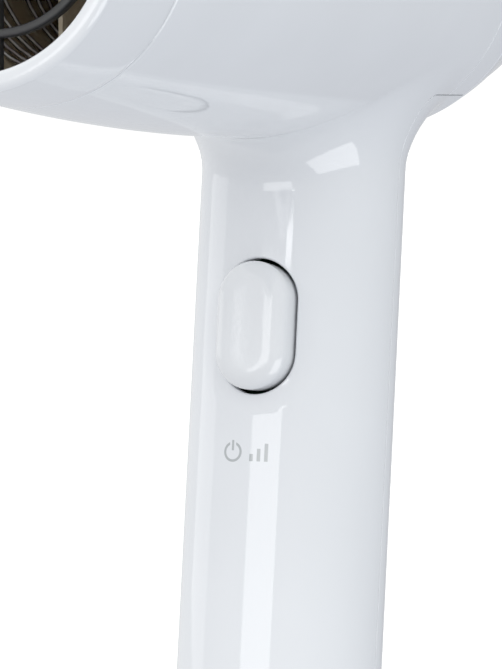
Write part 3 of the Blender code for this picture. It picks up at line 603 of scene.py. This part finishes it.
def coordinates(bm):
    return np.array([vert.co for vert in bm.verts], np.float64).reshape(-1, 3)


def onto_skin(bm):
    """Moves every vertex to the skin; those of the open ends stay in their end planes."""
    points = coordinates(bm)
    end = np.array([vert.is_boundary for vert in bm.verts])
    level = end & (np.abs(points[:, 2] - BASE_Z) < 1e-6)
    for _ in range(10):
        step = slope(outside, points)
        step[end & ~level, 1] = 0
        step[level, 2] = 0
        size = np.maximum((step**2).sum(1), 0.04)
        points -= step * (outside(points) / size)[:, None]
    for vert, point in zip(bm.verts, points):
        vert.co = point
    bm.normal_update()
    ways = slope(outside, centres_of(bm))
    if sum(face.normal.dot(Vector(way)) for face, way in zip(bm.faces, ways)) < 0:
        bmesh.ops.reverse_faces(bm, faces=bm.faces)


def centres_of(bm):
    return np.array([face.calc_center_median() for face in bm.faces])


def split_along(bm, field, at=0.0, snap=2e-6):
    """Cuts the faces that the line field = at crosses, so that the line becomes edges on the skin."""
    values = field(coordinates(bm)) - at
    values[np.abs(values) < snap] = 0
    value = dict(zip(bm.verts, values))
    crossed = [edge for edge in bm.edges if value[edge.verts[0]] * value[edge.verts[1]] < 0]
    for edge in crossed:
        a, b = edge.verts
        _, made = bmesh.utils.edge_split(edge, a, value[a] / (value[a] - value[b]))
        value[made] = 0
    for face in {face for vert, v in value.items() if v == 0 for face in vert.link_faces}:
        around = [value[v] for v in face.verts]
        if min(around) < 0 < max(around):
            on_line = [v for v in face.verts if value[v] == 0]
            if len(on_line) == 2:
                bmesh.utils.face_split(face, on_line[0], on_line[1])
    settle([v for v in value if value[v] == 0], field, at)


def settle(verts, field, at):
    """Slides these vertices along the skin, and along any end plane they lie in, to the line."""
    if not verts:
        return
    points = np.array([vert.co for vert in verts], np.float64)
    fixed = np.zeros(points.shape, bool)
    for axis, place in ((1, SEAM_Y), (1, REAR_Y), (2, BASE_Z)):
        fixed[:, axis] |= np.abs(points[:, axis] - place) < 1e-6
    for _ in range(4):
        for target in (outside, lambda p: field(p) - at):
            step = slope(target, points)
            step[fixed] = 0
            points -= step * (target(points) / np.maximum((step**2).sum(1), 0.04))[:, None]
    for vert, point in zip(verts, points):
        vert.co = point


def keep_outside(bm, field):
    """Deletes the faces on the negative side of a line that split_along has cut."""
    gone = field(centres_of(bm)) < 0
    bmesh.ops.delete(bm, geom=[f for f, bad in zip(bm.faces, gone) if bad], context="FACES")


def shell_mesh(bm, edges, sunk=None):
    """A wall from the cut skin: its edges rounded inwards by (field, radius), and shaded exactly."""
    points = coordinates(bm)
    normal = slope(outside, points)
    normal /= np.linalg.norm(normal, axis=1)[:, None]
    fall = np.zeros(len(points))
    tilt = normal.copy()
    for field, radius in edges:
        distance = np.clip(field(points), 0, radius)
        fall += radius - np.sqrt(np.maximum(radius**2 - (radius - distance) ** 2, 0))
        near = np.clip(distance, 0.04 * radius, radius)
        steep = -(radius - near) / np.sqrt(radius**2 - (radius - near) ** 2 + TINY)
        tilt += slope(field, points) * (steep * (distance < radius * 0.999))[:, None]
    if sunk:
        fall += sunk(points)
        tilt += slope(sunk, points)
    tilt /= np.linalg.norm(tilt, axis=1)[:, None]
    outer = points - normal * fall[:, None]
    inner = points - normal * WALL
    bm.verts.index_update()
    faces = [[v.index for v in face.verts] for face in bm.faces]
    count = len(points)
    back = [[i + count for i in reversed(face)] for face in faces]
    rims = []
    for edge in bm.edges:
        if edge.is_boundary:
            loop = edge.link_loops[0]
            a, b = loop.vert.index, loop.link_loop_next.vert.index
            rims.append([b, a, a + count, b + count])
    mesh = bpy.data.meshes.new("shell")
    mesh.from_pydata(np.vstack((outer, inner)).tolist(), [], faces + back + rims)
    mesh.shade_smooth()
    mesh.update()
    custom = [tilt[i] for face in faces for i in face]
    custom += [-normal[i - count] for face in back for i in face]
    for polygon in mesh.polygons[len(faces) + len(back):]:
        custom += [np.array(polygon.normal)] * 4
    mesh.normals_split_custom_set(np.array(custom).tolist())
    return mesh


def added(name, data):
    """A new object in the scene."""
    obj = bpy.data.objects.new(name, data)
    bpy.context.scene.collection.objects.link(obj)
    return obj


def piece(name, mesh, body, node, material):
    """A finished object that rides on its body and stands for its CAD node."""
    mesh.name = name
    mesh.materials.clear()
    mesh.materials.append(material)
    obj = added(name, mesh)
    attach(obj, body)
    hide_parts(node)
    return obj


def white_plastic(name, **more):
    finish = bpy.context.scene.dryer_finish
    return moulded(name, tuple(finish.shell_colour), finish.shell_roughness, **more)


def white_piece(name, mesh, node, finish_name, body="housing"):
    piece(name, mesh, body, node, white_plastic(finish_name))


def ends_rounding(bm, edges):
    """Adds the loops that each rounded edge needs."""
    for field, radius in edges:
        for share in ROUND_STEPS:
            split_along(bm, field, share * radius)


class DRYER_OT_shells(bpy.types.Operator):
    """The front housing and the handle's rear cover, cut from one form along their parting line"""

    bl_idname = "dryer.shells"
    bl_label = "Shells"

    def execute(self, context):
        s = context.scene.dryer_shape
        ends = [
            (lambda p: p[:, 1] - SEAM_Y, s.end_round),
            (lambda p: REAR_Y - p[:, 1], s.end_round),
            (lambda p: p[:, 2] - BASE_Z, s.end_round),
        ]
        form = coarse_form()
        bmesh.ops.subdivide_edges(form, edges=form.edges, cuts=s.fineness, use_grid_fill=True)
        onto_skin(form)
        ends_rounding(form, ends)

        def sunk(p):
            share = np.clip(1 - beyond_opening(p) / s.dish_reach, 0, 1)
            below = np.clip((DISH_TOP - p[:, 2]) / DISH_FADE, 0, 1)
            aside = np.clip(np.abs(p[:, 1] - GROOVE_Y) / GROOVE_HALF, 0, 1)
            dish = s.dish_depth * below * share * share * (3 - 2 * share)
            return dish + GROOVE_DEPTH * (1 - aside**2) ** 2

        front = form.copy()
        for field in (ahead_of_parting, beyond_opening):
            split_along(front, field)
            keep_outside(front, field)
        edges = [(ahead_of_parting, s.seam_round), (beyond_opening, s.opening_round)]
        for share in (-1, -0.5, 0, 0.5, 1):
            split_along(front, lambda p, y=GROOVE_Y + share * GROOVE_HALF: p[:, 1] - y)
        ends_rounding(front, edges)
        mark = tuple(context.scene.dryer_finish.mark_colour)
        white = white_plastic("shell_white", print_mask=power_mark, mark=mark)
        mesh = shell_mesh(front, ends + edges, sunk)
        piece("front_shell", mesh, "housing", "front_housing", white)
        front.free()

        def behind(p):
            return -ahead_of_cover(p)

        split_along(form, behind)
        keep_outside(form, behind)
        edges = [(behind, s.seam_round)]
        ends_rounding(form, edges)
        white_piece("rear_cover_shell", shell_mesh(form, ends + edges), "handle_rear_cover", "cover_white")
        form.free()
        return {"FINISHED"}


def turned(name, profile, count):
    """A ring turned about the barrel's axis, from a closed profile of (radius, y)."""
    return lofted(name, np.stack([ring_points(radius, y, count) for radius, y in profile]), closed=True)


def lofted(name, rings, closed=False, caps=False, sharp=30):
    """A mesh through rings of equal count."""
    total, count = rings.shape[:2]
    faces = []
    for i in range(total if closed else total - 1):
        j = (i + 1) % total
        for k in range(count):
            m = (k + 1) % count
            faces.append((i * count + k, i * count + m, j * count + m, j * count + k))
    if caps:
        faces.append(tuple(range(count)))
        faces.append(tuple(range((total - 1) * count, total * count)))
    mesh = bpy.data.meshes.new(name)
    mesh.from_pydata(rings.reshape(-1, 3).tolist(), [], faces)
    bm = bmesh.new()
    bm.from_mesh(mesh)
    bmesh.ops.recalc_face_normals(bm, faces=bm.faces)
    bm.to_mesh(mesh)
    bm.free()
    mesh.shade_smooth()
    mesh.set_sharp_from_angle(angle=math.radians(sharp))
    return mesh


def arc(centre, radius, start, end, steps=6):
    """Points of (radius, y) on a round corner; angles in degrees from +radius towards +y."""
    turns = np.radians(np.linspace(start, end, steps + 1))
    return [(centre[0] + radius * math.cos(t), centre[1] + radius * math.sin(t)) for t in turns]


def rounded(points, radii, steps=5):
    """A closed outline with its corners rounded."""
    out = []
    total = len(points)
    for i, (point, radius) in enumerate(zip(points, radii)):
        here = np.array(point)
        to_last = np.array(points[i - 1]) - here
        to_next = np.array(points[(i + 1) % total]) - here
        if radius <= 0:
            out.append(tuple(here))
            continue
        a, b = to_last / np.linalg.norm(to_last), to_next / np.linalg.norm(to_next)
        half = math.acos(max(-1, min(1, float(a @ b)))) / 2
        reach = radius / math.tan(half)
        first, last = here + a * reach, here + b * reach
        middle = here + (a + b) / np.linalg.norm(a + b) * (radius / math.sin(half))
        for t in np.linspace(0, 1, steps + 1):
            spoke = (first - middle) * (1 - t) + (last - middle) * t
            out.append(tuple(middle + spoke / np.linalg.norm(spoke) * radius))
    return out


def rim_outline(radius, depth, width, bevel):
    """A rounded bar's outline: radius at its inner side, from y = 0 to depth."""
    corners = [(radius, 0), (radius + width, 0), (radius + width, depth), (radius, depth)]
    return rounded(corners, (bevel,) * 4, 3)


def joined(name, meshes):
    """One mesh from several."""
    bm = bmesh.new()
    for mesh in meshes:
        bm.from_mesh(mesh)
    made = bpy.data.meshes.new(name)
    bm.to_mesh(made)
    bm.free()
    made.shade_smooth()
    made.set_sharp_from_angle(angle=math.radians(35))
    return made


def grille(name, rim, seat, count, bar, at, dome=0.0):
    """Round bars from hub to rim with flat spokes across them, from y = at, bulging by dome."""
    hub, spoke, depth = GRILLE_HUB, SPOKE_HALF, GRILLE_DEPTH

    def bulge(radius):
        return dome * max(0.0, 1 - (radius / rim) ** 2)

    meshes = []
    edges = [hub + (rim - hub) * i / count for i in range(count)]
    for start in edges:
        lift = at + bulge(start + bar / 2)
        meshes.append(turned(name, [(r, y + lift) for r, y in rim_outline(start, depth, bar, 0.0004)], 128))
    meshes.append(turned(name, [(r, y + at) for r, y in rim_outline(rim, depth, seat - rim, 0.0002)], 128))
    for i in range(GRILLE_SPOKES):
        turn = 2 * math.pi * i / GRILLE_SPOKES
        out = np.array([math.sin(turn), 0, -math.cos(turn)])
        side = np.array([math.cos(turn), 0, math.sin(turn)])
        near, far = 0.0002, depth - 0.0002
        outline = [(-spoke, near), (spoke, near), (spoke, far), (-spoke, far)]
        corners = rounded(outline, (0.0003,) * 4, 3)
        rings = []
        for radius in np.linspace(hub + bar / 2, rim + bar / 4, 14):
            lift = at + bulge(radius)
            base = out * radius + np.array([0, lift, BARREL_Z])
            rings.append([base + side * u + np.array([0, v, 0]) for u, v in corners])
        meshes.append(lofted(name, np.array(rings), caps=True))
    return joined(name, meshes)


class DRYER_OT_outlet(bpy.types.Operator):
    """The ring ahead of the barrel, and the grille in its throat"""

    bl_idname = "dryer.outlet"
    bl_label = "Outlet"

    def execute(self, context):
        front, back = OUTLET[0][1], OUTLET[1][1]
        tip = FRONT_RADIUS - OUTLET_TAPER
        throat = tip - OUTLET_RIM
        ledge = throat + GRILLE_LEDGE
        recess = front + GRILLE_RECESS
        seam = SEAM_Y - GAP
        start, end = front + OUTLET_ROUND, seam - OUTLET_SHOULDER
        outline = arc((tip - OUTLET_ROUND, start), OUTLET_ROUND, -90, 0, 10)[:-1]
        outline += [(tip + (FRONT_RADIUS - tip) * (1 - (1 - share) ** 1.25), start + (end - start) * share)
                    for share in np.linspace(0, 1, 16)]
        outline += arc((FRONT_RADIUS - OUTLET_SHOULDER, end), OUTLET_SHOULDER, math.degrees(0.2), 90)
        outline += [(FRONT_RADIUS - WALL - GAP, seam), (FRONT_RADIUS - WALL - GAP, back), (ledge, back),
                    (ledge, recess), (throat, recess), (throat, front + OUTLET_LIP)]
        outline += arc((throat + OUTLET_LIP, front + OUTLET_LIP), -OUTLET_LIP, math.degrees(0.3), 90, 5)
        white_piece("outlet_ring_shell", turned("outlet", outline, FINE), "outlet_ring", "outlet_white")
        mesh = grille("outlet_bars", throat - GAP, ledge - GAP, 3, 0.0016, recess + GAP)
        dark = moulded("grille_black", (0.022, 0.022, 0.023), 0.34, grain=0.5)
        piece("outlet_bars", mesh, "housing", "outlet_grille", dark)
        return {"FINISHED"}


class DRYER_OT_intake(bpy.types.Operator):
    """The band behind the barrel, the pull-off filter cap, its domed grille and its filter"""

    bl_idname = "dryer.intake"
    bl_label = "Intake"

    def execute(self, context):
        bore = REAR_RADIUS - RING_LIP
        inner, start, end = REAR_RADIUS - WALL - GAP, RING[0][1], RING[1][1]
        front = REAR_Y + GAP
        outline = [(back_radius(front), front), (back_radius(end), end), (bore, end), (bore, start),
                   (inner, start), (inner, front)]
        mesh = turned("rear_ring_band", rounded(outline, (0.0006, 0.0006, EDGE, EDGE, EDGE, 0)), FINE)
        white_piece("rear_ring_band", mesh, "rear_ring", "band_white")

        cap_from, cap_to = CAP[0][1], CAP[1][1]
        shoulder = end + GAP
        spigot, mouth = bore - GAP, REAR_RADIUS - CAP_RIM
        inner = spigot - CAP_WALL
        seat = cap_to - CAP_FACE

        def wall(y, inset=0.0):
            return back_radius(y) - CAP_STEP - inset, y

        outline = [(spigot, cap_from), (spigot, shoulder), wall(shoulder), wall(shoulder + 0.0030),
                   wall(shoulder + 0.0034, 0.0003), wall(shoulder + 0.0038), wall(cap_to), (mouth, cap_to),
                   (mouth, seat), (inner, seat), (inner, cap_from)]
        radii = (EDGE, 0, 0.0004, 0.0002, 0.0001, 0.0002, 0.0030, 0.0008, 0, 0, EDGE)
        mesh = turned("filter_cap_shell", rounded(outline, radii, 8), FINE)
        white_piece("filter_cap_shell", mesh, "filter_cap", "cap_white", "rear_cap")

        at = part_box("intake_grille")[0][1]
        grey = moulded("intake_grey", (0.22, 0.225, 0.23), 0.38, grain=0.5)
        rim = inner - GAP
        mesh = grille("intake_bars", mouth - GAP, rim, 8, 0.0011, at, INTAKE_DOME)
        piece("intake_bars", mesh, "rear_cap", "intake_grille", grey)

        front, back = (corner[1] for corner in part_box("filter_mesh"))
        steps = ((0, front), (0, back), (0.8, back), (1, back - 0.0002))
        profile = [(rim - 0.0018 * share, y) for share, y in steps]
        profile += [(radius, back - SHEET + 0.0014 * (1 - (radius / rim) ** 2))
                    for radius in np.linspace(rim - 0.0019, 0.0004, 18)]
        sheet = np.stack([ring_points(radius, y, 96) for radius, y in profile])
        mesh = lofted("filter_weave", np.concatenate((sheet, (sheet - (0, SHEET, 0))[:1:-1])), closed=True)
        piece("filter_weave", mesh, "rear_cap", "filter_mesh", woven_mesh())
        return {"FINISHED"}


def stadium_ring(width, height, depth, steps=24):
    """An upright stadium in the handle's axes at the button's height, turned into place."""
    radius = width / 2
    lift = height / 2 - radius
    points = []
    for side in (1, -1):
        for i in range(steps + 1):
            turn = math.pi * i / steps + (0 if side > 0 else math.pi)
            up = BUTTON_ALONG + side * lift + radius * math.sin(turn)
            points.append((radius * math.cos(turn), depth, up))
        for i in range(1, 12):
            points.append((-side * radius, depth, BUTTON_ALONG + side * lift * (1 - i / 6)))
    return np.array([UPRIGHT @ Vector(p) for p in points])


class DRYER_OT_button(bpy.types.Operator):
    """The push button: upright sides, a broad rolled edge and a nearly flat face"""

    bl_idname = "dryer.button"
    bl_label = "Button"

    def execute(self, context):
        width, height = OPENING_WIDTH - 2 * BUTTON_GAP, OPENING_HEIGHT - 2 * BUTTON_GAP
        front = -HANDLE_HALF_DEPTH
        back = front + BUTTON_BACK
        levels = [(width - 0.0010, height - 0.0010, back), (width, height, back - 0.0005)]
        levels += [(width, height, front + BUTTON_SHOULDER - (BUTTON_STRAIGHT + BUTTON_SHOULDER) * share)
                   for share in np.linspace(0, 1, 6)]
        for turn in np.linspace(0, math.pi / 2, 15)[1:]:
            inward = BUTTON_ROLL * (1 - math.cos(turn))
            depth = front - BUTTON_STRAIGHT - (BUTTON_PROUD - BUTTON_STRAIGHT) * math.sin(turn)
            levels.append((width - 2 * inward, height - 2 * inward, depth))
        crest = width - 2 * BUTTON_ROLL
        for share in np.linspace(0, 1, 12)[1:]:
            fall = BUTTON_HOLLOW * (0.5 - 0.5 * math.cos(math.pi * share))
            inward = BUTTON_ROLL + share * (crest / 2 - 0.0003)
            levels.append((width - 2 * inward, height - 2 * inward, front - BUTTON_PROUD + fall))
        rings = np.stack([stadium_ring(*level) for level in levels])
        mesh = lofted("button_cap", rings, caps=True, sharp=50)
        finish = context.scene.dryer_finish
        satin = moulded("button_satin", tuple(finish.button_colour), finish.button_roughness, grain=0.2)
        piece("button_cap", mesh, "button", "power_button", satin)
        return {"FINISHED"}


def upright_rings(profile, count, centre_y):
    """Rings about an upright axis through (radius, z)."""
    turn = full_turn(count)
    return np.stack([
        np.column_stack((radius * np.sin(turn), centre_y - radius * np.cos(turn), np.full(count, z)))
        for radius, z in profile
    ])


class DRYER_OT_handle_end(bpy.types.Operator):
    """The cap that closes the handle's end, and the ribbed bush that the cord comes out of"""

    bl_idname = "dryer.handle_end"
    bl_label = "Handle end"

    def execute(self, context):
        count = 144
        radius = GLAND[1][0] - 0.0018
        hole = radius + GAP
        flange = BASE_Z - GAP
        plug = END[1][2]
        corner = 0.0018
        levels = [handle_points(corner * (1 - math.sin(t)), count, corner * (1 - math.cos(t)) * 0.6)
                  for t in np.linspace(math.pi / 2, 0, 8)]
        levels += [handle_points(z, count, inset) for z, inset in (
            (flange - EDGE, 0.0), (flange, EDGE), (flange, WALL + GAP), (plug, WALL + GAP),
            (plug, WALL + PLUG_WALL), (flange, WALL + PLUG_WALL))]
        inner = [(hole, flange), (hole, 0.0005), (hole + 0.0002, 0.0001), (hole + 0.0005, 0.0)]
        inner = upright_rings(inner, count, HANDLE_Y)
        face = [(levels[0] * share + inner[-1] * (1 - share)) for share in (0.25, 0.5, 0.75)]
        rings = np.concatenate((np.stack(levels), inner, np.stack(face)))
        mesh = lofted("handle_end_cover", rings, closed=True)
        white_piece("handle_end_cover", mesh, "handle_end_cap", "end_white")

        low, high = GLAND[0][2], GLAND[1][2]
        bore = 0.0032
        profile = [(bore, low + 0.0006), (bore + 0.0004, low + 0.0001)]
        for i in range(3):
            middle = bore + 0.0008 + 0.0006 * i
            profile += [(middle - 0.0002, low), (middle, low + 0.0002), (middle + 0.0002, low)]
        lip = GLAND[1][0]
        profile += [(radius - EDGE, low), (radius, low + EDGE), (radius, high - 0.0020), (lip, high - 0.0020),
                    (lip, high - EDGE), (lip - EDGE, high), (bore, high)]
        mesh = lofted("cord_bush", upright_rings(profile, 72, HANDLE_Y), closed=True)
        piece("cord_bush", mesh, "housing", "cord_gland", soft_rubber())
        return {"FINISHED"}


def cross_reach(turn, arm, half):
    """The radius of a cross-shaped recess at each turn."""
    wide, tall = (np.maximum(np.abs(f(turn)), TINY) for f in (np.cos, np.sin))
    return np.maximum(np.minimum(arm / wide, half / tall), np.minimum(arm / tall, half / wide))


class DRYER_OT_screws(bpy.types.Operator):
    """The two screws of the rear cover, with cross recesses"""

    bl_idname = "dryer.screws"
    bl_label = "Screws"

    def execute(self, context):
        steel = brushed_steel("screw_steel")
        count = 96
        turn = full_turn(count)
        seat = HANDLE_HALF_DEPTH - SCREW_SEAT + GAP
        depth = seat + HEAD_HEIGHT
        below = depth - HEAD_ROUND
        sizes = [(SCREW_RADIUS, seat - SCREW_LENGTH), (SCREW_RADIUS, seat), (HEAD_RADIUS, seat),
                 (HEAD_RADIUS, below)]
        sizes += arc((HEAD_RADIUS - HEAD_ROUND, below), HEAD_ROUND, math.degrees(0.3), 90, 4)
        sizes += [(cross_reach(turn, 0.0016, 0.00033), depth),
                  (cross_reach(turn, 0.0013, 0.00024), depth - RECESS_DEPTH)]
        for node in ("cover_screw_lower", "cover_screw_upper"):
            low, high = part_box(node)
            middle = (low + high) / 2
            up = along(np.array([middle]))[0]
            rings = []
            for radius, y in sizes:
                points = np.column_stack((radius * np.cos(turn), np.full(count, y), up + radius * np.sin(turn)))
                rings.append([UPRIGHT @ Vector(p) for p in points])
            mesh = lofted(node + "_head", np.array(rings), caps=True)
            piece(node + "_head", mesh, "housing", node, steel)
        return {"FINISHED"}


def coil_curve(node):
    """The heater's wire as a fine helix in its CAD coil's place."""
    low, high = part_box(node)
    wire = WIRE_RADIUS
    radius = high[0] - wire
    turns = max(1, round((high[1] - low[1] - 2 * wire) / WIRE_PITCH))
    count = 48 * turns
    turn = full_turn(48, count + 1)
    centre = np.column_stack((radius * np.sin(turn), np.linspace(low[1] + wire, high[1] - wire, count + 1),
                              BARREL_Z + radius * np.cos(turn)))
    out = np.column_stack((np.sin(turn), np.zeros(count + 1), np.cos(turn)))
    rings = [centre + out * (wire * math.cos(a)) + np.array([0, wire * math.sin(a), 0])
             for a in np.linspace(0, 2 * math.pi, 9)[:-1]]
    return lofted(node, np.stack(rings, axis=1), caps=True)


class DRYER_OT_workings(bpy.types.Operator):
    """The heater's wire, and finishes for the fan, motor, heater and board inside"""

    bl_idname = "dryer.workings"
    bl_label = "Workings"

    def execute(self, context):
        wire = heater_wire()
        for node in ("heater_coil_front", "heater_coil_rear"):
            piece(node + "_wire", coil_curve(node), "housing", node, wire)
        dark = moulded("inner_black", (0.030, 0.031, 0.033), 0.42, grain=0.6)
        grey = moulded("inner_grey", (0.26, 0.27, 0.28), 0.40, grain=0.5)
        steel = brushed_steel("motor_steel")
        mica = mica_sheet()
        looks = {
            "electrolytic_capacitor": moulded("can_sleeve", (0.02, 0.03, 0.07), 0.3, grain=0.3),
            "film_capacitor": moulded("film_block", (0.40, 0.28, 0.07), 0.36, grain=0.5),
            "heat_sink": brushed_steel("sink_metal", (0.62, 0.62, 0.63), 0.36),
            "rotor": copper_winding(),
            "commutator": brushed_steel("commutator_copper", (0.72, 0.40, 0.22), 0.25),
            "motor_sleeve": soft_rubber(), "circuit_board": printed_board(),
        }
        looks.update(dict.fromkeys(("fan_duct", "motor_end_cap", "magnet_upper", "magnet_lower",
                                    "heater_collar", "thermostat", "relay", "tact_switch"), dark))
        looks.update(dict.fromkeys(("impeller", "button_stem", "switch_plunger"), grey))
        looks.update(dict.fromkeys(("motor_can", "motor_shaft", "thermal_fuse"), steel))
        looks.update(dict.fromkeys(("mica_tube", "mica_board_upright", "mica_board_level"), mica))
        for node, material in looks.items():
            slots = frame["nodes"][node].material_slots
            if not slots:
                raise RuntimeError(f"{node} has no material slot")
            for slot in slots:
                slot.material = material
        return {"FINISHED"}


def soft_light(name, place, target, size, power):
    """An area light at place, facing target; size is (width, height)."""
    light = bpy.data.lights.new(name, "AREA")
    light.shape = "RECTANGLE"
    light.size, light.size_y = size
    light.energy = power
    obj = added(name, light)
    obj.location = place
    obj.rotation_euler = (target - place).to_track_quat("-Z", "Y").to_euler()
    return obj


def way_to(azimuth, elevation):
    """The direction at this azimuth and elevation in degrees; azimuth 0 is the outlet's side."""
    a, e = math.radians(azimuth), math.radians(elevation)
    return Vector((math.sin(a) * math.cos(e), -math.cos(a) * math.cos(e), math.sin(e)))


def backdrop_mesh():
    """A white dome all round, for the camera only."""
    turns = np.linspace(-0.2, 1.5, 24)
    profile = [(STAGE_RADIUS * math.cos(t), STAGE_RADIUS * math.sin(t)) for t in turns]
    mesh = lofted("backdrop", upright_rings(profile, 96, 0), caps=True)
    white = Shader("backdrop_white", Base_Color=(0, 0, 0), Roughness=1.0, Specular_IOR_Level=0.0,
                   Emission_Color=(1, 1, 1), Emission_Strength=1.03)
    mesh.materials.append(white.material)
    return mesh


def soft_surround(strength):
    """A world of broad soft lobes of light."""
    world = bpy.data.worlds.new("soft_surround")
    world.use_nodes = True
    nodes = Nodes(world.node_tree)
    way = nodes.add("ShaderNodeTexCoord", output="Generated")
    total = None
    for azimuth, elevation, colour in LOBES:
        facing = nodes.add("ShaderNodeVectorMath", {"operation": "DOT_PRODUCT"},
                           {0: way, 1: tuple(way_to(azimuth, elevation))}, output="Value")
        lobe = facing.math("MAXIMUM", 0.0).math("POWER", LOBE_POWER)
        part = nodes.add("ShaderNodeVectorMath", {"operation": "SCALE"}, {0: colour, "Scale": lobe})
        if total:
            part = nodes.add("ShaderNodeVectorMath", {"operation": "ADD"}, {0: total, 1: part})
        total = part
    background = world.node_tree.nodes["Background"]
    world.node_tree.links.new(total.socket, background.inputs["Color"])
    background.inputs["Strength"].default_value = strength
    return world


class DRYER_OT_stage(bpy.types.Operator):
    """A pale floor, even light from all round, soft boxes and the camera"""

    bl_idname = "dryer.stage"
    bl_label = "Stage"

    def execute(self, context):
        settings = context.scene.dryer_stage
        context.scene.view_settings.view_transform = "Standard"
        mesh = lofted("floor", upright_rings([(r, 0) for r in (0.02, 1, 4, 8, STAGE_RADIUS)], 128, 0))
        floor = Shader("floor_paper", Roughness=0.85, Specular_IOR_Level=0.2, Emission_Strength=0.15,
                       Emission_Color=(1.0, 1.0, 1.0))
        fibre = floor.noise(90.0, 4.0)
        floor.feed(Base_Color=floor.mix(fibre, (0.90, 0.90, 0.90), (0.93, 0.93, 0.93)))
        mesh.materials.append(floor.material)
        for obj in (added("floor", mesh), added("backdrop", backdrop_mesh())):
            obj.visible_diffuse = obj.visible_glossy = obj.visible_shadow = False
        context.scene.world = soft_surround(settings.fill)

        aim = UPRIGHT @ Vector((0, 0, BUTTON_ALONG))
        for name, azimuth, elevation, distance, size, power in LIGHTS:
            light = soft_light(name, aim + way_to(azimuth, elevation) * distance, aim, size, power)
            light.visible_camera = light.visible_diffuse = False

        a, e = settings.azimuth, settings.elevation
        way = way_to(math.degrees(a), math.degrees(e))
        right = Vector((math.cos(a), math.sin(a), 0))
        aim -= right * AIM_ASIDE
        camera = bpy.data.cameras.new("camera")
        camera.lens = settings.lens
        camera.sensor_width = SENSOR_WIDTH
        obj = added("camera", camera)
        obj.location = aim + way * settings.distance
        obj.rotation_euler = (-way).to_track_quat("-Z", "Y").to_euler()
        context.scene.camera = obj
        return {"FINISHED"}


class DRYER_PT_looks(bpy.types.Panel):
    """Lists the dryer's pieces and their settings"""

    bl_label = "Hair dryer"
    bl_idname = "DRYER_PT_looks"
    bl_space_type = "VIEW_3D"
    bl_region_type = "UI"
    bl_category = "Hair dryer"

    def draw(self, context):
        for place, group in GROUPS:
            column = self.layout.column()
            for name in group.__annotations__:
                column.prop(getattr(context.scene, place), name)
        for operator in OPERATORS:
            self.layout.operator(operator.bl_idname)


GROUPS = (("dryer_shape", DryerShape), ("dryer_finish", DryerFinish), ("dryer_stage", DryerStage))
OPERATORS = (DRYER_OT_shells, DRYER_OT_outlet, DRYER_OT_intake, DRYER_OT_button, DRYER_OT_handle_end,
             DRYER_OT_screws, DRYER_OT_workings, DRYER_OT_stage)


def register():
    for name, group in GROUPS:
        bpy.utils.register_class(group)
        setattr(bpy.types.Scene, name, PointerProperty(type=group))
    for kind in (*OPERATORS, DRYER_PT_looks):
        bpy.utils.register_class(kind)


def unregister():
    for kind in (DRYER_PT_looks, *OPERATORS):
        bpy.utils.unregister_class(kind)
    for name, group in GROUPS:
        delattr(bpy.types.Scene, name)
        bpy.utils.unregister_class(group)


def main():
    register()
    for kind in OPERATORS:
        getattr(bpy.ops.dryer, kind.bl_idname.split(".")[1])()


if __name__ == "__main__":
    main()
